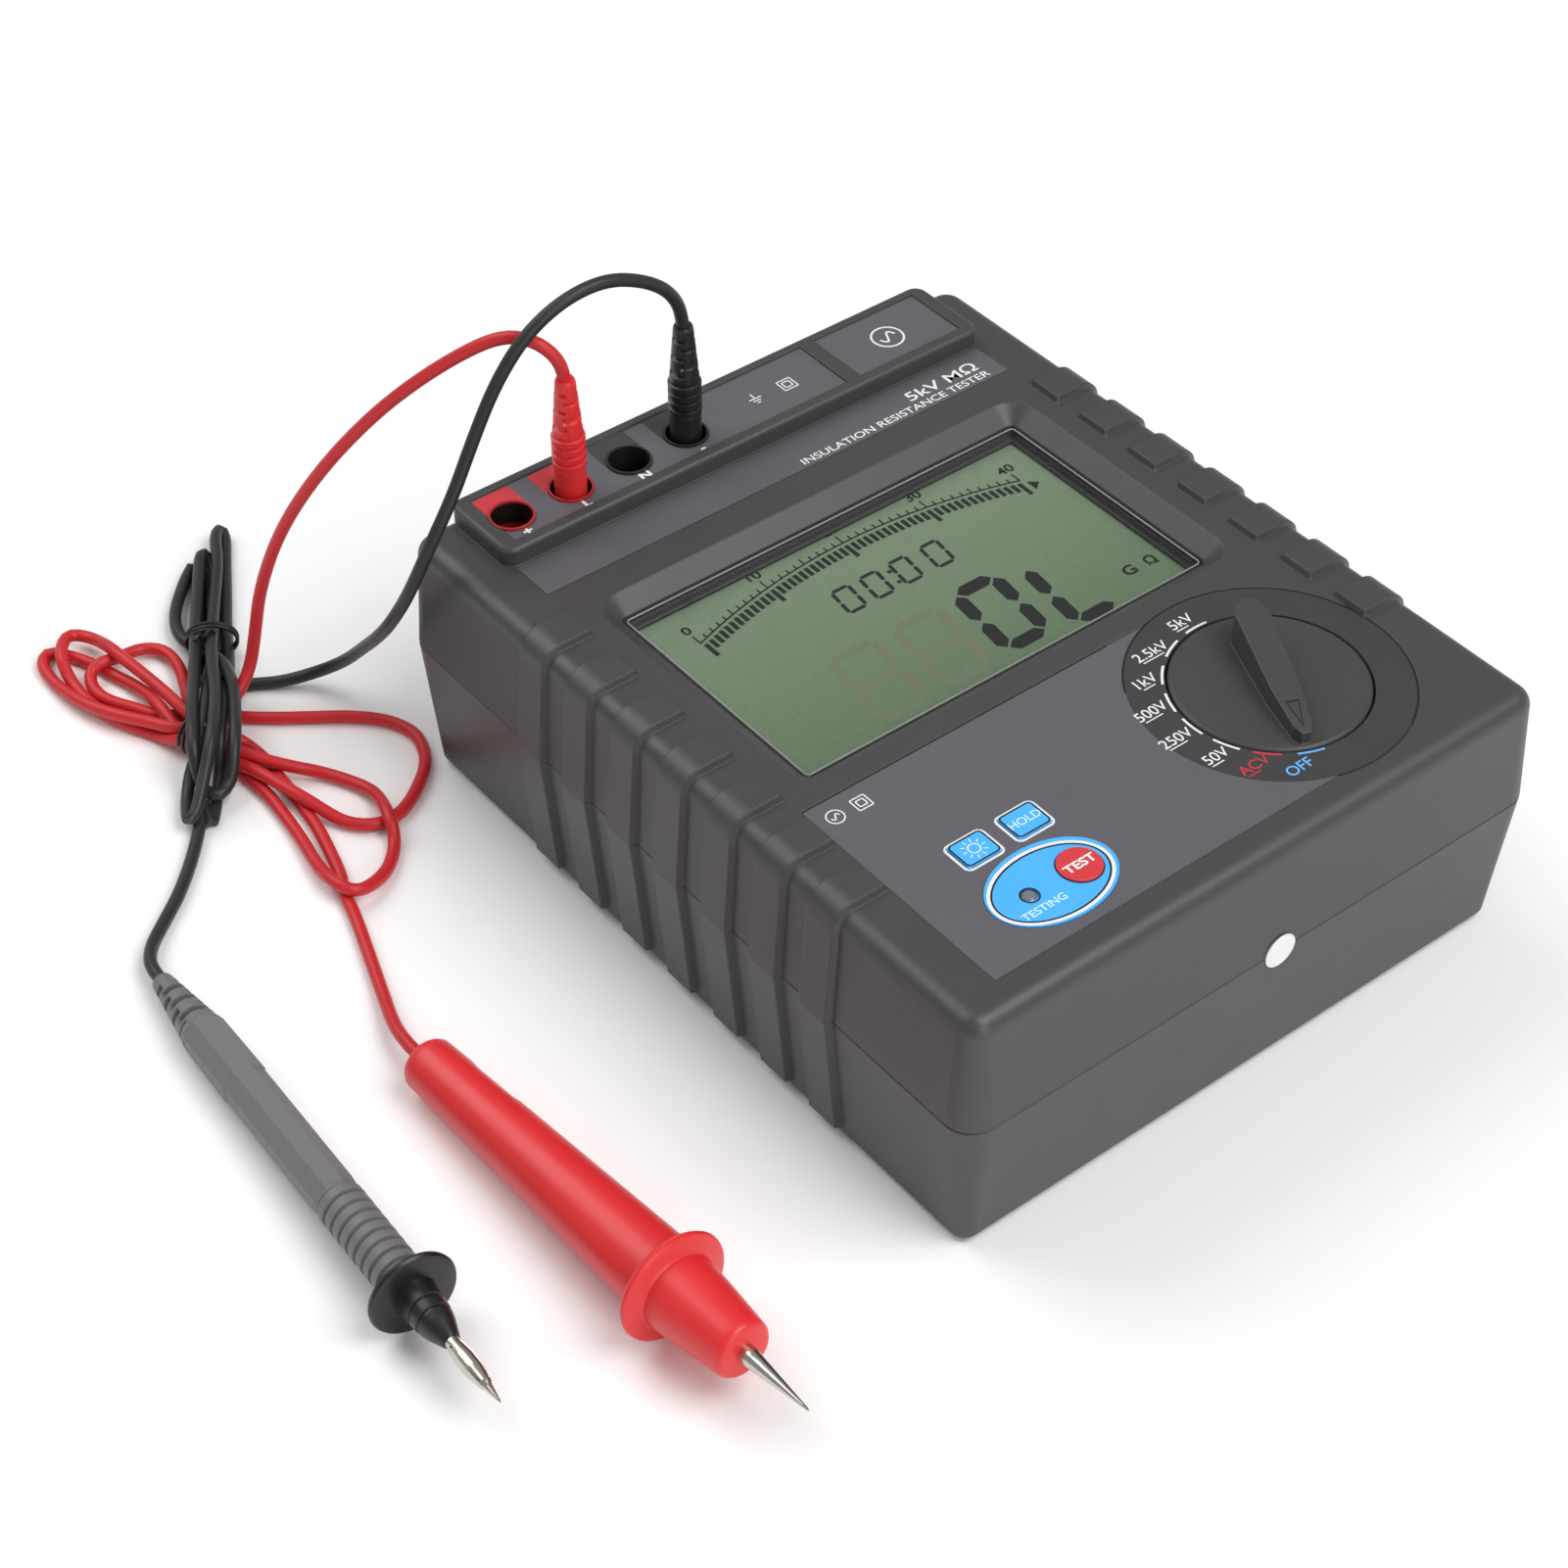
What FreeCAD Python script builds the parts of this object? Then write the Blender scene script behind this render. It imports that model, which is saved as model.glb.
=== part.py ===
"""Insulation resistance tester with two test leads, as separate sub-parts of one parametric document.

Frame: +X to the right as the panel is read, +Y towards the socket bar, +Z up.
The origin lies under the middle of the instrument, on the surface that it stands on.
"""

import FreeCAD
import Part
import Sketcher

import math
import os

doc = FreeCAD.newDocument("insulation_tester")
sheet = doc.addObject("Spreadsheet::Sheet", "sizes")
Vector = FreeCAD.Vector
PARTS = []


# ------------------------------------------------------------------ sizes
class Size:
    """A length in millimetres with the spreadsheet expression that it comes from."""

    def __init__(self, value, text):
        self.value = float(value)
        self.text = text

    def __rsub__(self, other):
        return Size(number(other) - self.value, "(%r - %s)" % (float(other), self.text))

    def _join(self, other, sign, value):
        right = other.text if isinstance(other, Size) else repr(float(other))
        return Size(value, "(%s %s %s)" % (self.text, sign, right))

    def __add__(self, other):
        return self._join(other, "+", self.value + number(other))

    def __sub__(self, other):
        return self._join(other, "-", self.value - number(other))

    def __mul__(self, other):
        return self._join(other, "*", self.value * number(other))

    def __truediv__(self, other):
        return self._join(other, "/", self.value / number(other))

    def __neg__(self):
        return self * -1.0

    __radd__ = __add__
    __rmul__ = __mul__


def number(size):
    """The plain value of a size or of a bare number."""
    return size.value if isinstance(size, Size) else float(size)


def expression(size):
    """The expression text of a size or of a bare number."""
    return size.text if isinstance(size, Size) else repr(float(size))


def size(alias, value):
    """Write one driving dimension into the next row of the sheet and return it."""
    row = size.row = getattr(size, "row", 0) + 1
    sheet.set("A%d" % row, alias)
    sheet.set("B%d" % row, repr(value))
    sheet.setAlias("B%d" % row, alias)
    return Size(value, "sizes." + alias)


# case
case_width = size("case_width", 190.0)
case_length = size("case_length", 230.0)
case_top = size("case_top", 78.0)
parting_height = size("parting_height", 44.0)
base_height = size("base_height", 1.5)
top_inset = size("top_inset", 2.2)
base_inset = size("base_inset", 3.8)
corner_round = size("corner_round", 8.0)
top_round = size("top_round", 5.0)
wall = size("wall", 3.0)
seam_chamfer = size("seam_chamfer", 0.35)

# grip ribs on both sides
rib_count = size("rib_count", 7)
rib_pitch = size("rib_pitch", 19.4)
rib_length = size("rib_length", 11.4)
rib_rise = size("rib_rise", 1.8)
rib_slope = size("rib_slope", 0.8)
rib_front = size("rib_front", -66.0)
rib_top_run = size("rib_top_run", 14.4)
rib_foot_height = size("rib_foot_height", 4.0)
rib_root = size("rib_root", 1.2)

# socket bar
bar_rise = size("bar_rise", 5.5)
bar_half_width = size("bar_half_width", 80.5)
bar_depth = size("bar_depth", 27.5)
bar_setback = size("bar_setback", 0.3)
bar_round = size("bar_round", 4.0)
bar_edge = size("bar_edge", 1.4)
bar_rim = size("bar_rim", 3.4)
label_recess = size("label_recess", 0.8)
label_thickness = size("label_thickness", 0.3)
label_split = size("label_split", 37.6)
label_web = size("label_web", 4.6)
film_gap = size("film_gap", 0.1)

# sockets and plugs
jack_pitch = size("jack_pitch", 19.0)
jack_first = size("jack_first", -70.3)
jack_setback = size("jack_setback", 14.9)
jack_bore = size("jack_bore", 5.6)
jack_sleeve = size("jack_sleeve", 6.25)
jack_depth = size("jack_depth", 21.0)
jack_flange = size("jack_flange", 7.0)
contact_bore = size("contact_bore", 2.05)
contact_wall = size("contact_wall", 0.75)
contact_drop = size("contact_drop", 8.0)
contact_stem = size("contact_stem", 1.1)
pin_radius = size("pin_radius", 2.0)
plug_shroud = size("plug_shroud", 4.5)
plug_throat = size("plug_throat", 3.3)
plug_reach = size("plug_reach", 19.0)
plug_grip = size("plug_grip", 4.6)
plug_grip_height = size("plug_grip_height", 16.0)
plug_nose = size("plug_nose", 2.8)
plug_height = size("plug_height", 35.0)
plug_core = size("plug_core", 2.0)
lead_diameter = size("lead_diameter", 3.6)
lead_fit = size("lead_fit", 0.05)
lead_entry = size("lead_entry", 3.9)

# display
lens_half_width = size("lens_half_width", 66.3)
lens_front = size("lens_front", -20.6)
lens_back = size("lens_back", 54.8)
lens_thickness = size("lens_thickness", 2.5)
lens_gap = size("lens_gap", 0.15)
well_depth = size("well_depth", 4.5)
well_slope = size("well_slope", 5.2)
well_ledge = size("well_ledge", 0.5)
well_round = size("well_round", 8.0)
well_land = size("well_land", 2.2)
well_floor = size("well_floor", 1.0)
well_margin = size("well_margin", 4.5)
glass_thickness = size("glass_thickness", 2.1)
glass_gap = size("glass_gap", 0.3)
backlight_thickness = size("backlight_thickness", 3.6)
board_thickness = size("board_thickness", 1.6)
frame_wall = size("frame_wall", 2.0)
strip_width = size("strip_width", 1.2)

# panels
panel_left = size("panel_left", -78.1)
panel_front = size("panel_front", -103.3)
panel_back = size("panel_back", -33.4)
panel_gap = size("panel_gap", 0.5)
panel_film = size("panel_film", 0.3)
strip_half_width = size("strip_half_width", 78.3)
strip_depth = size("strip_depth", 13.2)
strip_gap = size("strip_gap", 1.0)

# range switch
dial_x = size("dial_x", 42.6)
dial_y = size("dial_y", -68.6)
dial_radius = size("dial_radius", 36.3)
knob_radius = size("knob_radius", 25.5)
knob_gap = size("knob_gap", 0.6)
knob_recess = size("knob_recess", 4.0)
knob_float = size("knob_float", 0.4)
knob_proud = size("knob_proud", 0.4)
knob_floor = size("knob_floor", 2.0)
knob_rest_angle = size("knob_rest_angle", -114.0)
grip_height = size("grip_height", 10.5)
grip_drop = size("grip_drop", 7.0)
grip_tail = size("grip_tail", 20.5)
grip_nose = size("grip_nose", 24.0)
grip_tail_width = size("grip_tail_width", 9.0)
grip_waist_width = size("grip_waist_width", 7.8)
grip_waist = size("grip_waist", 9.0)
grip_nose_width = size("grip_nose_width", 5.0)
shaft_radius = size("shaft_radius", 3.0)
shaft_clearance = size("shaft_clearance", 0.05)
shaft_bite = size("shaft_bite", 6.0)
hub_hole = size("hub_hole", 6.0)
switch_radius = size("switch_radius", 26.0)
switch_height = size("switch_height", 7.5)
switch_wall = size("switch_wall", 2.5)
rotor_radius = size("rotor_radius", 20.0)
rotor_thickness = size("rotor_thickness", 2.4)

# keys
key_width = size("key_width", 10.4)
key_depth = size("key_depth", 8.6)
key_row = size("key_row", -68.3)
light_key_x = size("light_key_x", -54.2)
hold_key_x = size("hold_key_x", -38.4)
key_proud = size("key_proud", 0.6)
key_gap = size("key_gap", 0.3)
key_round = size("key_round", 1.2)
key_flange = size("key_flange", 1.0)
key_travel = size("key_travel", 1.0)
test_key_x = size("test_key_x", -38.4)
test_key_y = size("test_key_y", -87.7)
test_key_radius = size("test_key_radius", 5.7)
bezel_x = size("bezel_x", -47.0)
bezel_y = size("bezel_y", -87.6)
bezel_major = size("bezel_major", 18.0)
bezel_minor = size("bezel_minor", 12.6)
bezel_film = size("bezel_film", 0.3)
led_x = size("led_x", -54.2)
led_radius = size("led_radius", 2.1)
tact_width = size("tact_width", 6.0)
tact_height = size("tact_height", 4.5)

# fasteners, feet, battery bay and boards
boss_x = size("boss_x", 81.5)
boss_y = size("boss_y", 101.5)
boss_radius = size("boss_radius", 4.5)
screw_radius = size("screw_radius", 1.5)
screw_head = size("screw_head", 3.0)
screw_bite = size("screw_bite", 10.0)
screw_slack = size("screw_slack", 0.3)
thread_gap = size("thread_gap", 0.12)
head_sink = size("head_sink", 5.0)
sticker_radius = size("sticker_radius", 4.9)
sticker_x = size("sticker_x", 4.9)
foot_x = size("foot_x", 66.0)
foot_y = size("foot_y", 96.0)
foot_radius = size("foot_radius", 7.0)
foot_seat = size("foot_seat", 1.0)
bay_spare = size("bay_spare", 4.0)
bay_length = size("bay_length", 104.0)
bay_lip = size("bay_lip", 5.0)
cover_thickness = size("cover_thickness", 2.0)
cover_gap = size("cover_gap", 0.3)
cell_radius = size("cell_radius", 13.1)
cell_length = size("cell_length", 49.0)
cell_gap = size("cell_gap", 0.8)
cell_lift = size("cell_lift", 0.6)
tray_wall = size("tray_wall", 1.6)
tray_head = size("tray_head", 2.8)
spring_depth = size("spring_depth", 1.6)
main_board_height = size("main_board_height", 40.0)
main_board_x = size("main_board_x", 75.0)
main_board_y = size("main_board_y", 104.0)
spacer_radius = size("spacer_radius", 3.0)
spacer_x = size("spacer_x", 69.0)
spacer_y = size("spacer_y", 84.0)
post_x = size("post_x", 76.0)
post_back = size("post_back", 72.0)
post_front = size("post_front", -91.0)
board_margin = size("board_margin", 4.0)

# leads and probes
tie_band = size("tie_band", 1.0)
tie_width = size("tie_width", 3.0)
hank_lift = size("hank_lift", 1.2)
hank_height = size("hank_height", 6.8)
hank_bridge = size("hank_bridge", 9.7)
hank_width = size("hank_width", 12.4)
hank_length = size("hank_length", 128.0)
red_guard = size("red_guard", 15.0)
red_front = size("red_front", 10.3)
red_rear = size("red_rear", 7.4)
red_nose = size("red_nose", 7.7)
red_guard_at = size("red_guard_at", 100.4)
red_nose_at = size("red_nose_at", 127.3)
red_tip_at = size("red_tip_at", 149.9)
grey_body = size("grey_body", 6.1)
grey_boot = size("grey_boot", 22.8)
grey_guard = size("grey_guard", 11.7)
grey_guard_at = size("grey_guard_at", 129.1)
grey_nose_at = size("grey_nose_at", 146.9)
grey_tip_at = size("grey_tip_at", 168.9)
needle_radius = size("needle_radius", 2.5)
lantern_radius = size("lantern_radius", 2.0)

doc.recompute()

# places that several pieces share
half_width = case_width / 2
half_length = case_length / 2
top_half_width = half_width - top_inset
top_half_length = half_length - top_inset
ceiling = case_top - wall
floor_level = base_height + wall
well_bottom = case_top - well_depth
lens_bottom = well_bottom - lens_thickness
well_underside = lens_bottom - well_floor
board_top = well_underside - glass_gap - glass_thickness - backlight_thickness
board_bottom = board_top - board_thickness
bar_top = case_top + bar_rise
bar_back = top_half_length - bar_setback
bar_front = bar_back - bar_depth
jack_line = bar_back - jack_setback
strip_back = bar_front - strip_gap
strip_front = strip_back - strip_depth
bar_roof = bar_top - wall
knob_base = case_top - knob_recess + knob_float
knob_top = case_top + knob_proud
main_board_top = main_board_height + board_thickness
jack_bottom = bar_top - jack_depth
contact_top = bar_top - contact_drop
cell_pitch = cell_radius * 2 + cell_gap
bay_width = cell_pitch * 4 + bay_spare
tray_top = floor_level + cell_radius * 2 + tray_head
lead_radius = lead_diameter / 2


# ------------------------------------------------------------------ makers
def bind(item, prop, length):
    """Tie a property to the sheet; a bare number stays a bare number."""
    item.setExpression(prop, expression(length))


def place(item, x, y, z, rotation=None):
    """Give an object its place, each coordinate bound to the sheet."""
    if rotation is not None:
        item.Placement = FreeCAD.Placement(Vector(0, 0, 0), rotation)
    for axis, length in (("x", x), ("y", y), ("z", z)):
        bind(item, "Placement.Base." + axis, length)
    return item


def keep(item, node):
    """Name an object as a node of its own, to be written out at the end."""
    item.Label = node
    PARTS.append(item)
    return item


def new_body(node):
    """A PartDesign body that is a node of its own."""
    return keep(doc.addObject("PartDesign::Body", node), node)


def origin_feature(body, role):
    """A plane or axis of the body's own origin."""
    return [item for item in body.Origin.OriginFeatures if item.Role == role][0]


def new_sketch(body, name, role="XY_Plane", offset=0.0):
    """A sketch on one of the body's own planes, moved along the plane's normal."""
    sketch = body.newObject("Sketcher::SketchObject", name)
    sketch.AttachmentSupport = [(origin_feature(body, role), "")]
    sketch.MapMode = "FlatFace"
    bind(sketch, "AttachmentOffset.Base.z", offset)
    return sketch


def pin_point(sketch, curve, end, x, y):
    """Bind one end or centre of a curve to its two coordinates."""
    for kind, length in (("DistanceX", x), ("DistanceY", y)):
        index = sketch.addConstraint(Sketcher.Constraint(kind, -1, 1, curve, end, number(length)))
        if isinstance(length, Size):
            sketch.setExpression("Constraints[%d]" % index, length.text)


def draw_outline(sketch, points, arcs=()):
    """A closed outline through the points; edges listed in arcs are quarter turns, not lines."""
    first = sketch.GeometryCount
    count = len(points)
    for step in range(count):
        start = Vector(number(points[step][0]), number(points[step][1]), 0)
        end_point = points[(step + 1) % count]
        end = Vector(number(end_point[0]), number(end_point[1]), 0)
        if step in arcs:
            chord = end - start
            bulge = Vector(chord.y, -chord.x, 0) * 0.2071
            sketch.addGeometry(Part.Arc(start, (start + end) * 0.5 + bulge, end))
        else:
            sketch.addGeometry(Part.LineSegment(start, end))
    for step in range(count):
        after = (step + 1) % count
        curve, following = first + step, first + after
        ends = curve_ends(sketch, curve, points[step], points[after])
        following_ends = curve_ends(sketch, following, points[after], points[(after + 1) % count])
        kind = "Tangent" if after in arcs else "Coincident"
        sketch.addConstraint(Sketcher.Constraint(kind, curve, ends[1], following, following_ends[0]))
        pin_point(sketch, curve, ends[0], points[step][0], points[step][1])


def curve_ends(sketch, curve, start, end):
    """Which vertex of the curve starts it and which ends it; an arc may run the other way."""
    at_start = sketch.getPoint(curve, 1)
    to_start = math.hypot(at_start.x - number(start[0]), at_start.y - number(start[1]))
    to_end = math.hypot(at_start.x - number(end[0]), at_start.y - number(end[1]))
    return (1, 2) if to_start <= to_end else (2, 1)


def draw_rectangle(sketch, left, right, front, back, radius=None):
    """A rectangle with its corners rounded by radius, or sharp."""
    if radius is None:
        draw_outline(sketch, [(left, front), (right, front), (right, back), (left, back)])
        return
    corners = [
        (left + radius, front), (right - radius, front), (right, front + radius), (right, back - radius),
        (right - radius, back), (left + radius, back), (left, back - radius), (left, front + radius),
    ]
    draw_outline(sketch, corners, arcs=(1, 3, 5, 7))


def draw_circle(sketch, x, y, radius):
    """A circle with its centre and radius bound."""
    centre = Vector(number(x), number(y), 0)
    curve = sketch.addGeometry(Part.Circle(centre, Vector(0, 0, 1), number(radius)))
    pin_point(sketch, curve, 3, x, y)
    index = sketch.addConstraint(Sketcher.Constraint("Radius", curve, number(radius)))
    if isinstance(radius, Size):
        sketch.setExpression("Constraints[%d]" % index, radius.text)


def pad(body, sketch, length):
    """Add the sketch's area, upwards along its normal."""
    feature = body.newObject("PartDesign::Pad", sketch.Name + "_pad")
    feature.Profile = sketch
    bind(feature, "Length", length)
    sketch.Visibility = False
    return feature


def tapered_pad(body, sketch, length, inset, downwards=False):
    """Add the sketch's area with walls that lean in by inset over the length."""
    feature = pad(body, sketch, length)
    feature.Reversed = downwards
    feature.setExpression("TaperAngle", "-atan(%s / %s)" % (inset.text, length.text))
    return feature


def pocket(body, sketch, length, upwards=False):
    """Cut the sketch's area, downwards unless upwards is asked for, and check that it cut."""
    doc.recompute()
    before = body.Shape.Volume
    feature = body.newObject("PartDesign::Pocket", sketch.Name + "_pocket")
    feature.Profile = sketch
    feature.Reversed = upwards
    bind(feature, "Length", length)
    doc.recompute()
    if not body.Shape.Volume < before - 1e-6:
        raise RuntimeError("nothing was cut by " + feature.Name)
    return feature


def loft(body, sketches, name, kind="AdditiveLoft"):
    """Join sketches by straight-ruled faces, adding or cutting."""
    feature = body.newObject("PartDesign::" + kind, name)
    feature.Profile = sketches[0]
    feature.Sections = sketches[1:]
    feature.Ruled = True
    return feature


def dress(body, kind, length, choose):
    """Fillet or Chamfer the edges of the body's tip that choose accepts."""
    doc.recompute()
    base = body.Tip
    names = ["Edge%d" % (index + 1) for index, edge in enumerate(base.Shape.Edges) if choose(edge)]
    if not names:
        raise RuntimeError("no edge chosen on " + body.Label)
    feature = body.newObject("PartDesign::" + kind, body.Name + "_" + kind)
    feature.Base = (base, names)
    bind(feature, "Radius" if kind == "Fillet" else "Size", length)
    return feature


def lies_at(height):
    """A test for edges that lie whole in one horizontal plane."""
    level = number(height)
    return lambda edge: all(abs(point.z - level) < 1e-4 for point in edge.discretize(5))


def plate(node, draw, bottom, thickness):
    """A flat piece: what draw draws, padded upwards from bottom."""
    body = new_body(node)
    sketch = new_sketch(body, node + "_outline", offset=bottom)
    draw(sketch)
    pad(body, sketch, thickness)
    return body


def turned(node, profile, rotation=None, at=(0.0, 0.0, 0.0)):
    """A piece turned about its own Z axis from a closed profile of radius and height."""
    body = new_body(node)
    sketch = new_sketch(body, node + "_profile", role="XZ_Plane")
    draw_outline(sketch, profile)
    feature = body.newObject("PartDesign::Revolution", node + "_turn")
    feature.Profile = sketch
    feature.ReferenceAxis = (sketch, ["V_Axis"])
    feature.Angle = 360.0
    place(body, at[0], at[1], at[2], rotation)
    return body


def box(name, low, high):
    """A Part box between two corners."""
    item = doc.addObject("Part::Box", name)
    for prop, axis in (("Length", 0), ("Width", 1), ("Height", 2)):
        bind(item, prop, high[axis] - low[axis])
    return place(item, low[0], low[1], low[2])


def cylinder(name, x, y, bottom, top, radius, rotation=None):
    """A Part cylinder, upright unless it is turned."""
    item = doc.addObject("Part::Cylinder", name)
    bind(item, "Radius", radius)
    bind(item, "Height", top - bottom)
    return place(item, x, y, bottom, rotation)


def cut(name, base, tool):
    """One shape less another."""
    item = doc.addObject("Part::Cut", name)
    item.Base = base
    item.Tool = tool
    return item


def fuse(name, items):
    """Several shapes made one."""
    item = doc.addObject("Part::MultiFuse", name)
    item.Shapes = items
    return item


def group(node, items):
    """Equal pieces that share a node as separate solids."""
    item = doc.addObject("Part::Compound", node)
    item.Links = items
    return keep(item, node)


def corners(x, y):
    """The four corners of a rectangle about the origin."""
    return [(x, y), (x, -y), (-x, y), (-x, -y)]


def zero():
    """A size that is nothing, for sums that need one."""
    return parting_height - parting_height


# ------------------------------------------------------------------ case
def rib_profile(side, rise, upper):
    """The outline of one grip rib across the case; side is 1 on the right, -1 on the left."""
    edge = top_half_width
    inner = edge - rib_top_run
    if upper:
        points = [
            (inner, case_top - rib_root),
            (half_width - rib_root, parting_height),
            (half_width + rise, parting_height),
            (edge + rise, case_top - top_round),
            (edge - top_round, case_top + rise),
            (inner + rib_slope, case_top + rise),
            (inner, case_top + rib_slope / 5),
        ]
        root = (edge - rib_root, case_top - top_round + rib_root / 2)
        shoulder = (edge - top_round + rib_root / 2, case_top - rib_root)
        points = [points[0], shoulder, root] + points[1:]
        arcs = (5,)
    else:
        foot = half_width - base_inset * ((parting_height - rib_foot_height) / (parting_height - base_height))
        points = [
            (foot - rib_root, rib_foot_height),
            (foot + rise, rib_foot_height),
            (half_width + rise, parting_height),
            (half_width - rib_root, parting_height),
        ]
        arcs = ()
    return [(x * float(side), z) for x, z in points], arcs


def add_ribs(body, upper):
    """Seven ribs a side: each a ruled body with sloped ends, repeated along the case."""
    low_rise = rib_slope / 5
    stations = [
        (rib_front, low_rise),
        (rib_front + rib_slope, rib_rise),
        (rib_front + rib_length - rib_slope, rib_rise),
        (rib_front + rib_length, low_rise),
    ]
    ribs = []
    for side in (1, -1):
        sections = []
        for index, (station, rise) in enumerate(stations):
            name = "%s_rib_%s_%d" % (body.Name, "right" if side > 0 else "left", index)
            sketch = new_sketch(body, name, role="XZ_Plane", offset=-station)
            points, arcs = rib_profile(side, rise, upper)
            draw_outline_side(sketch, points, arcs, side)
            sections.append(sketch)
        ribs.append(loft(body, sections, name + "_loft"))
    doc.recompute()
    pattern = body.newObject("PartDesign::LinearPattern", body.Name + "_ribs")
    pattern.Originals = ribs
    pattern.Direction = (origin_feature(body, "Y_Axis"), [""])
    bind(pattern, "Length", rib_pitch * (rib_count - 1))
    bind(pattern, "Occurrences", rib_count)
    body.Tip = pattern
    doc.recompute()


def draw_outline_side(sketch, points, arcs, side):
    """The rib's outline, drawn anticlockwise on either side so that its arc bulges outwards."""
    if side > 0:
        draw_outline(sketch, points, arcs)
        return
    mirrored = list(reversed(points))
    count = len(points)
    draw_outline(sketch, mirrored, tuple((count - 2 - arc) % count for arc in arcs))


def section(body, name, height, half_x, half_y, radius=None):
    """A rounded rectangle about the origin at a height."""
    sketch = new_sketch(body, name, offset=height)
    draw_rectangle(sketch, -half_x, half_x, -half_y, half_y, radius)
    return sketch


def posts(body, name, height, places, radius, length):
    """Round pads or pockets drawn together in one sketch."""
    sketch = new_sketch(body, name, offset=height)
    for x, y in places:
        draw_circle(sketch, x, y, radius)
    return sketch if length is None else pad(body, sketch, length)


def make_upper_case():
    """Top shell: drafted walls, socket bar, display well, knob recess, holes, bosses and ribs."""
    body = new_body("upper_case")
    skirt = section(body, "upper_skirt", parting_height, half_width, half_length, corner_round)
    tapered_pad(body, skirt, case_top - parting_height, top_inset)
    dress(body, "Fillet", top_round, lies_at(case_top))
    dress(body, "Chamfer", seam_chamfer, lies_at(parting_height))
    bar = new_sketch(body, "bar_plan", offset=ceiling - wall)
    draw_rectangle(bar, -bar_half_width, bar_half_width, bar_front, bar_back, bar_round)
    pad(body, bar, bar_top - ceiling + wall)
    dress(body, "Fillet", bar_edge, lies_at(bar_top))
    cavity = section(body, "upper_cavity", parting_height, top_half_width - wall,
                     top_half_length - wall, top_round)
    pocket(body, cavity, ceiling - parting_height, upwards=True)
    bar_cavity = new_sketch(body, "bar_cavity", offset=ceiling - 1.0)
    draw_rectangle(bar_cavity, wall - bar_half_width, bar_half_width - wall, bar_front + wall, bar_back - wall)
    pocket(body, bar_cavity, bar_roof - ceiling + 1.0, upwards=True)
    make_display_well(body)
    make_knob_recess(body)
    make_film_recesses(body)
    make_panel_holes(body)
    posts(body, "upper_bosses", parting_height, corners(boss_x, boss_y), boss_radius, ceiling - parting_height)
    pilots = posts(body, "upper_pilots", parting_height, corners(boss_x, boss_y),
                   screw_radius + thread_gap, None)
    pocket(body, pilots, screw_bite, upwards=True)
    hangers = [(post_x, post_back), (-post_x, post_back), (post_x, post_front), (-post_x, post_front)]
    posts(body, "board_hangers", board_top, hangers, spacer_radius, ceiling - board_top)
    add_ribs(body, upper=True)


def make_display_well(body):
    """The sunk, sloped surround of the lens, its seat and the opening over the glass."""
    boss = new_sketch(body, "well_boss", offset=well_underside)
    margin = well_slope + well_margin
    draw_rectangle(boss, -lens_half_width - margin, lens_half_width + margin, lens_front - margin,
                   lens_back + margin)
    pad(body, boss, ceiling - well_underside)
    mouth = new_sketch(body, "well_mouth", offset=case_top)
    spread = well_ledge + well_slope
    draw_rectangle(mouth, -lens_half_width - spread, lens_half_width + spread, lens_front - spread,
                   lens_back + spread, well_round)
    seat = new_sketch(body, "well_seat", offset=well_bottom)
    draw_rectangle(seat, -lens_half_width - well_ledge, lens_half_width + well_ledge,
                   lens_front - well_ledge, lens_back + well_ledge, well_land)
    loft(body, [mouth, seat], "well_slopes", kind="SubtractiveLoft")
    rebate = new_sketch(body, "lens_rebate", offset=well_bottom)
    draw_rectangle(rebate, -lens_half_width - lens_gap, lens_half_width + lens_gap,
                   lens_front - lens_gap, lens_back + lens_gap)
    pocket(body, rebate, lens_thickness)
    view = new_sketch(body, "lens_view", offset=lens_bottom)
    draw_rectangle(view, well_land - lens_half_width, lens_half_width - well_land,
                   lens_front + well_land, lens_back - well_land)
    pocket(body, view, well_floor + 1.0)


def make_knob_recess(body):
    """A round pan for the range knob, with a floor and a hole for its shaft."""
    pan = posts(body, "knob_pan", case_top - knob_recess - knob_floor, [(dial_x, dial_y)],
                knob_radius + knob_gap + wall, ceiling - case_top + knob_recess + knob_floor)
    pan.Refine = True
    recess = posts(body, "knob_well", case_top, [(dial_x, dial_y)], knob_radius + knob_gap, None)
    pocket(body, recess, knob_recess)
    hole = posts(body, "hub_hole_plan", case_top - knob_recess, [(dial_x, dial_y)], hub_hole, None)
    pocket(body, hole, knob_floor + 1.0)


def make_film_recesses(body):
    """Shallow seats for the printed films, so that they lie flush."""
    panel = new_sketch(body, "panel_seat", offset=case_top)
    draw_rectangle(panel, panel_left, dial_x, panel_front, panel_back + panel_gap)
    pocket(body, panel, panel_film)
    dial = posts(body, "dial_seat", case_top, [(dial_x, dial_y)], dial_radius + panel_gap, None)
    pocket(body, dial, panel_film)
    strip = new_sketch(body, "strip_seat", offset=case_top)
    draw_rectangle(strip, -strip_half_width, strip_half_width, strip_front, strip_back)
    pocket(body, strip, panel_film)
    labels = new_sketch(body, "label_seats", offset=bar_top)
    for left, right in label_spans():
        draw_rectangle(labels, left, right, bar_front + bar_rim, bar_back - bar_edge - bar_rim / 2)
    pocket(body, labels, label_recess)


def label_spans():
    """Left and right ends of the two sunk fields on the socket bar."""
    end = bar_half_width - bar_edge - bar_rim
    return [(-end, label_split - label_web / 2), (label_split + label_web / 2, end)]


def jack_places():
    """Centres of the four sockets."""
    return [(jack_first + jack_pitch * step, jack_line) for step in range(4)]


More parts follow.
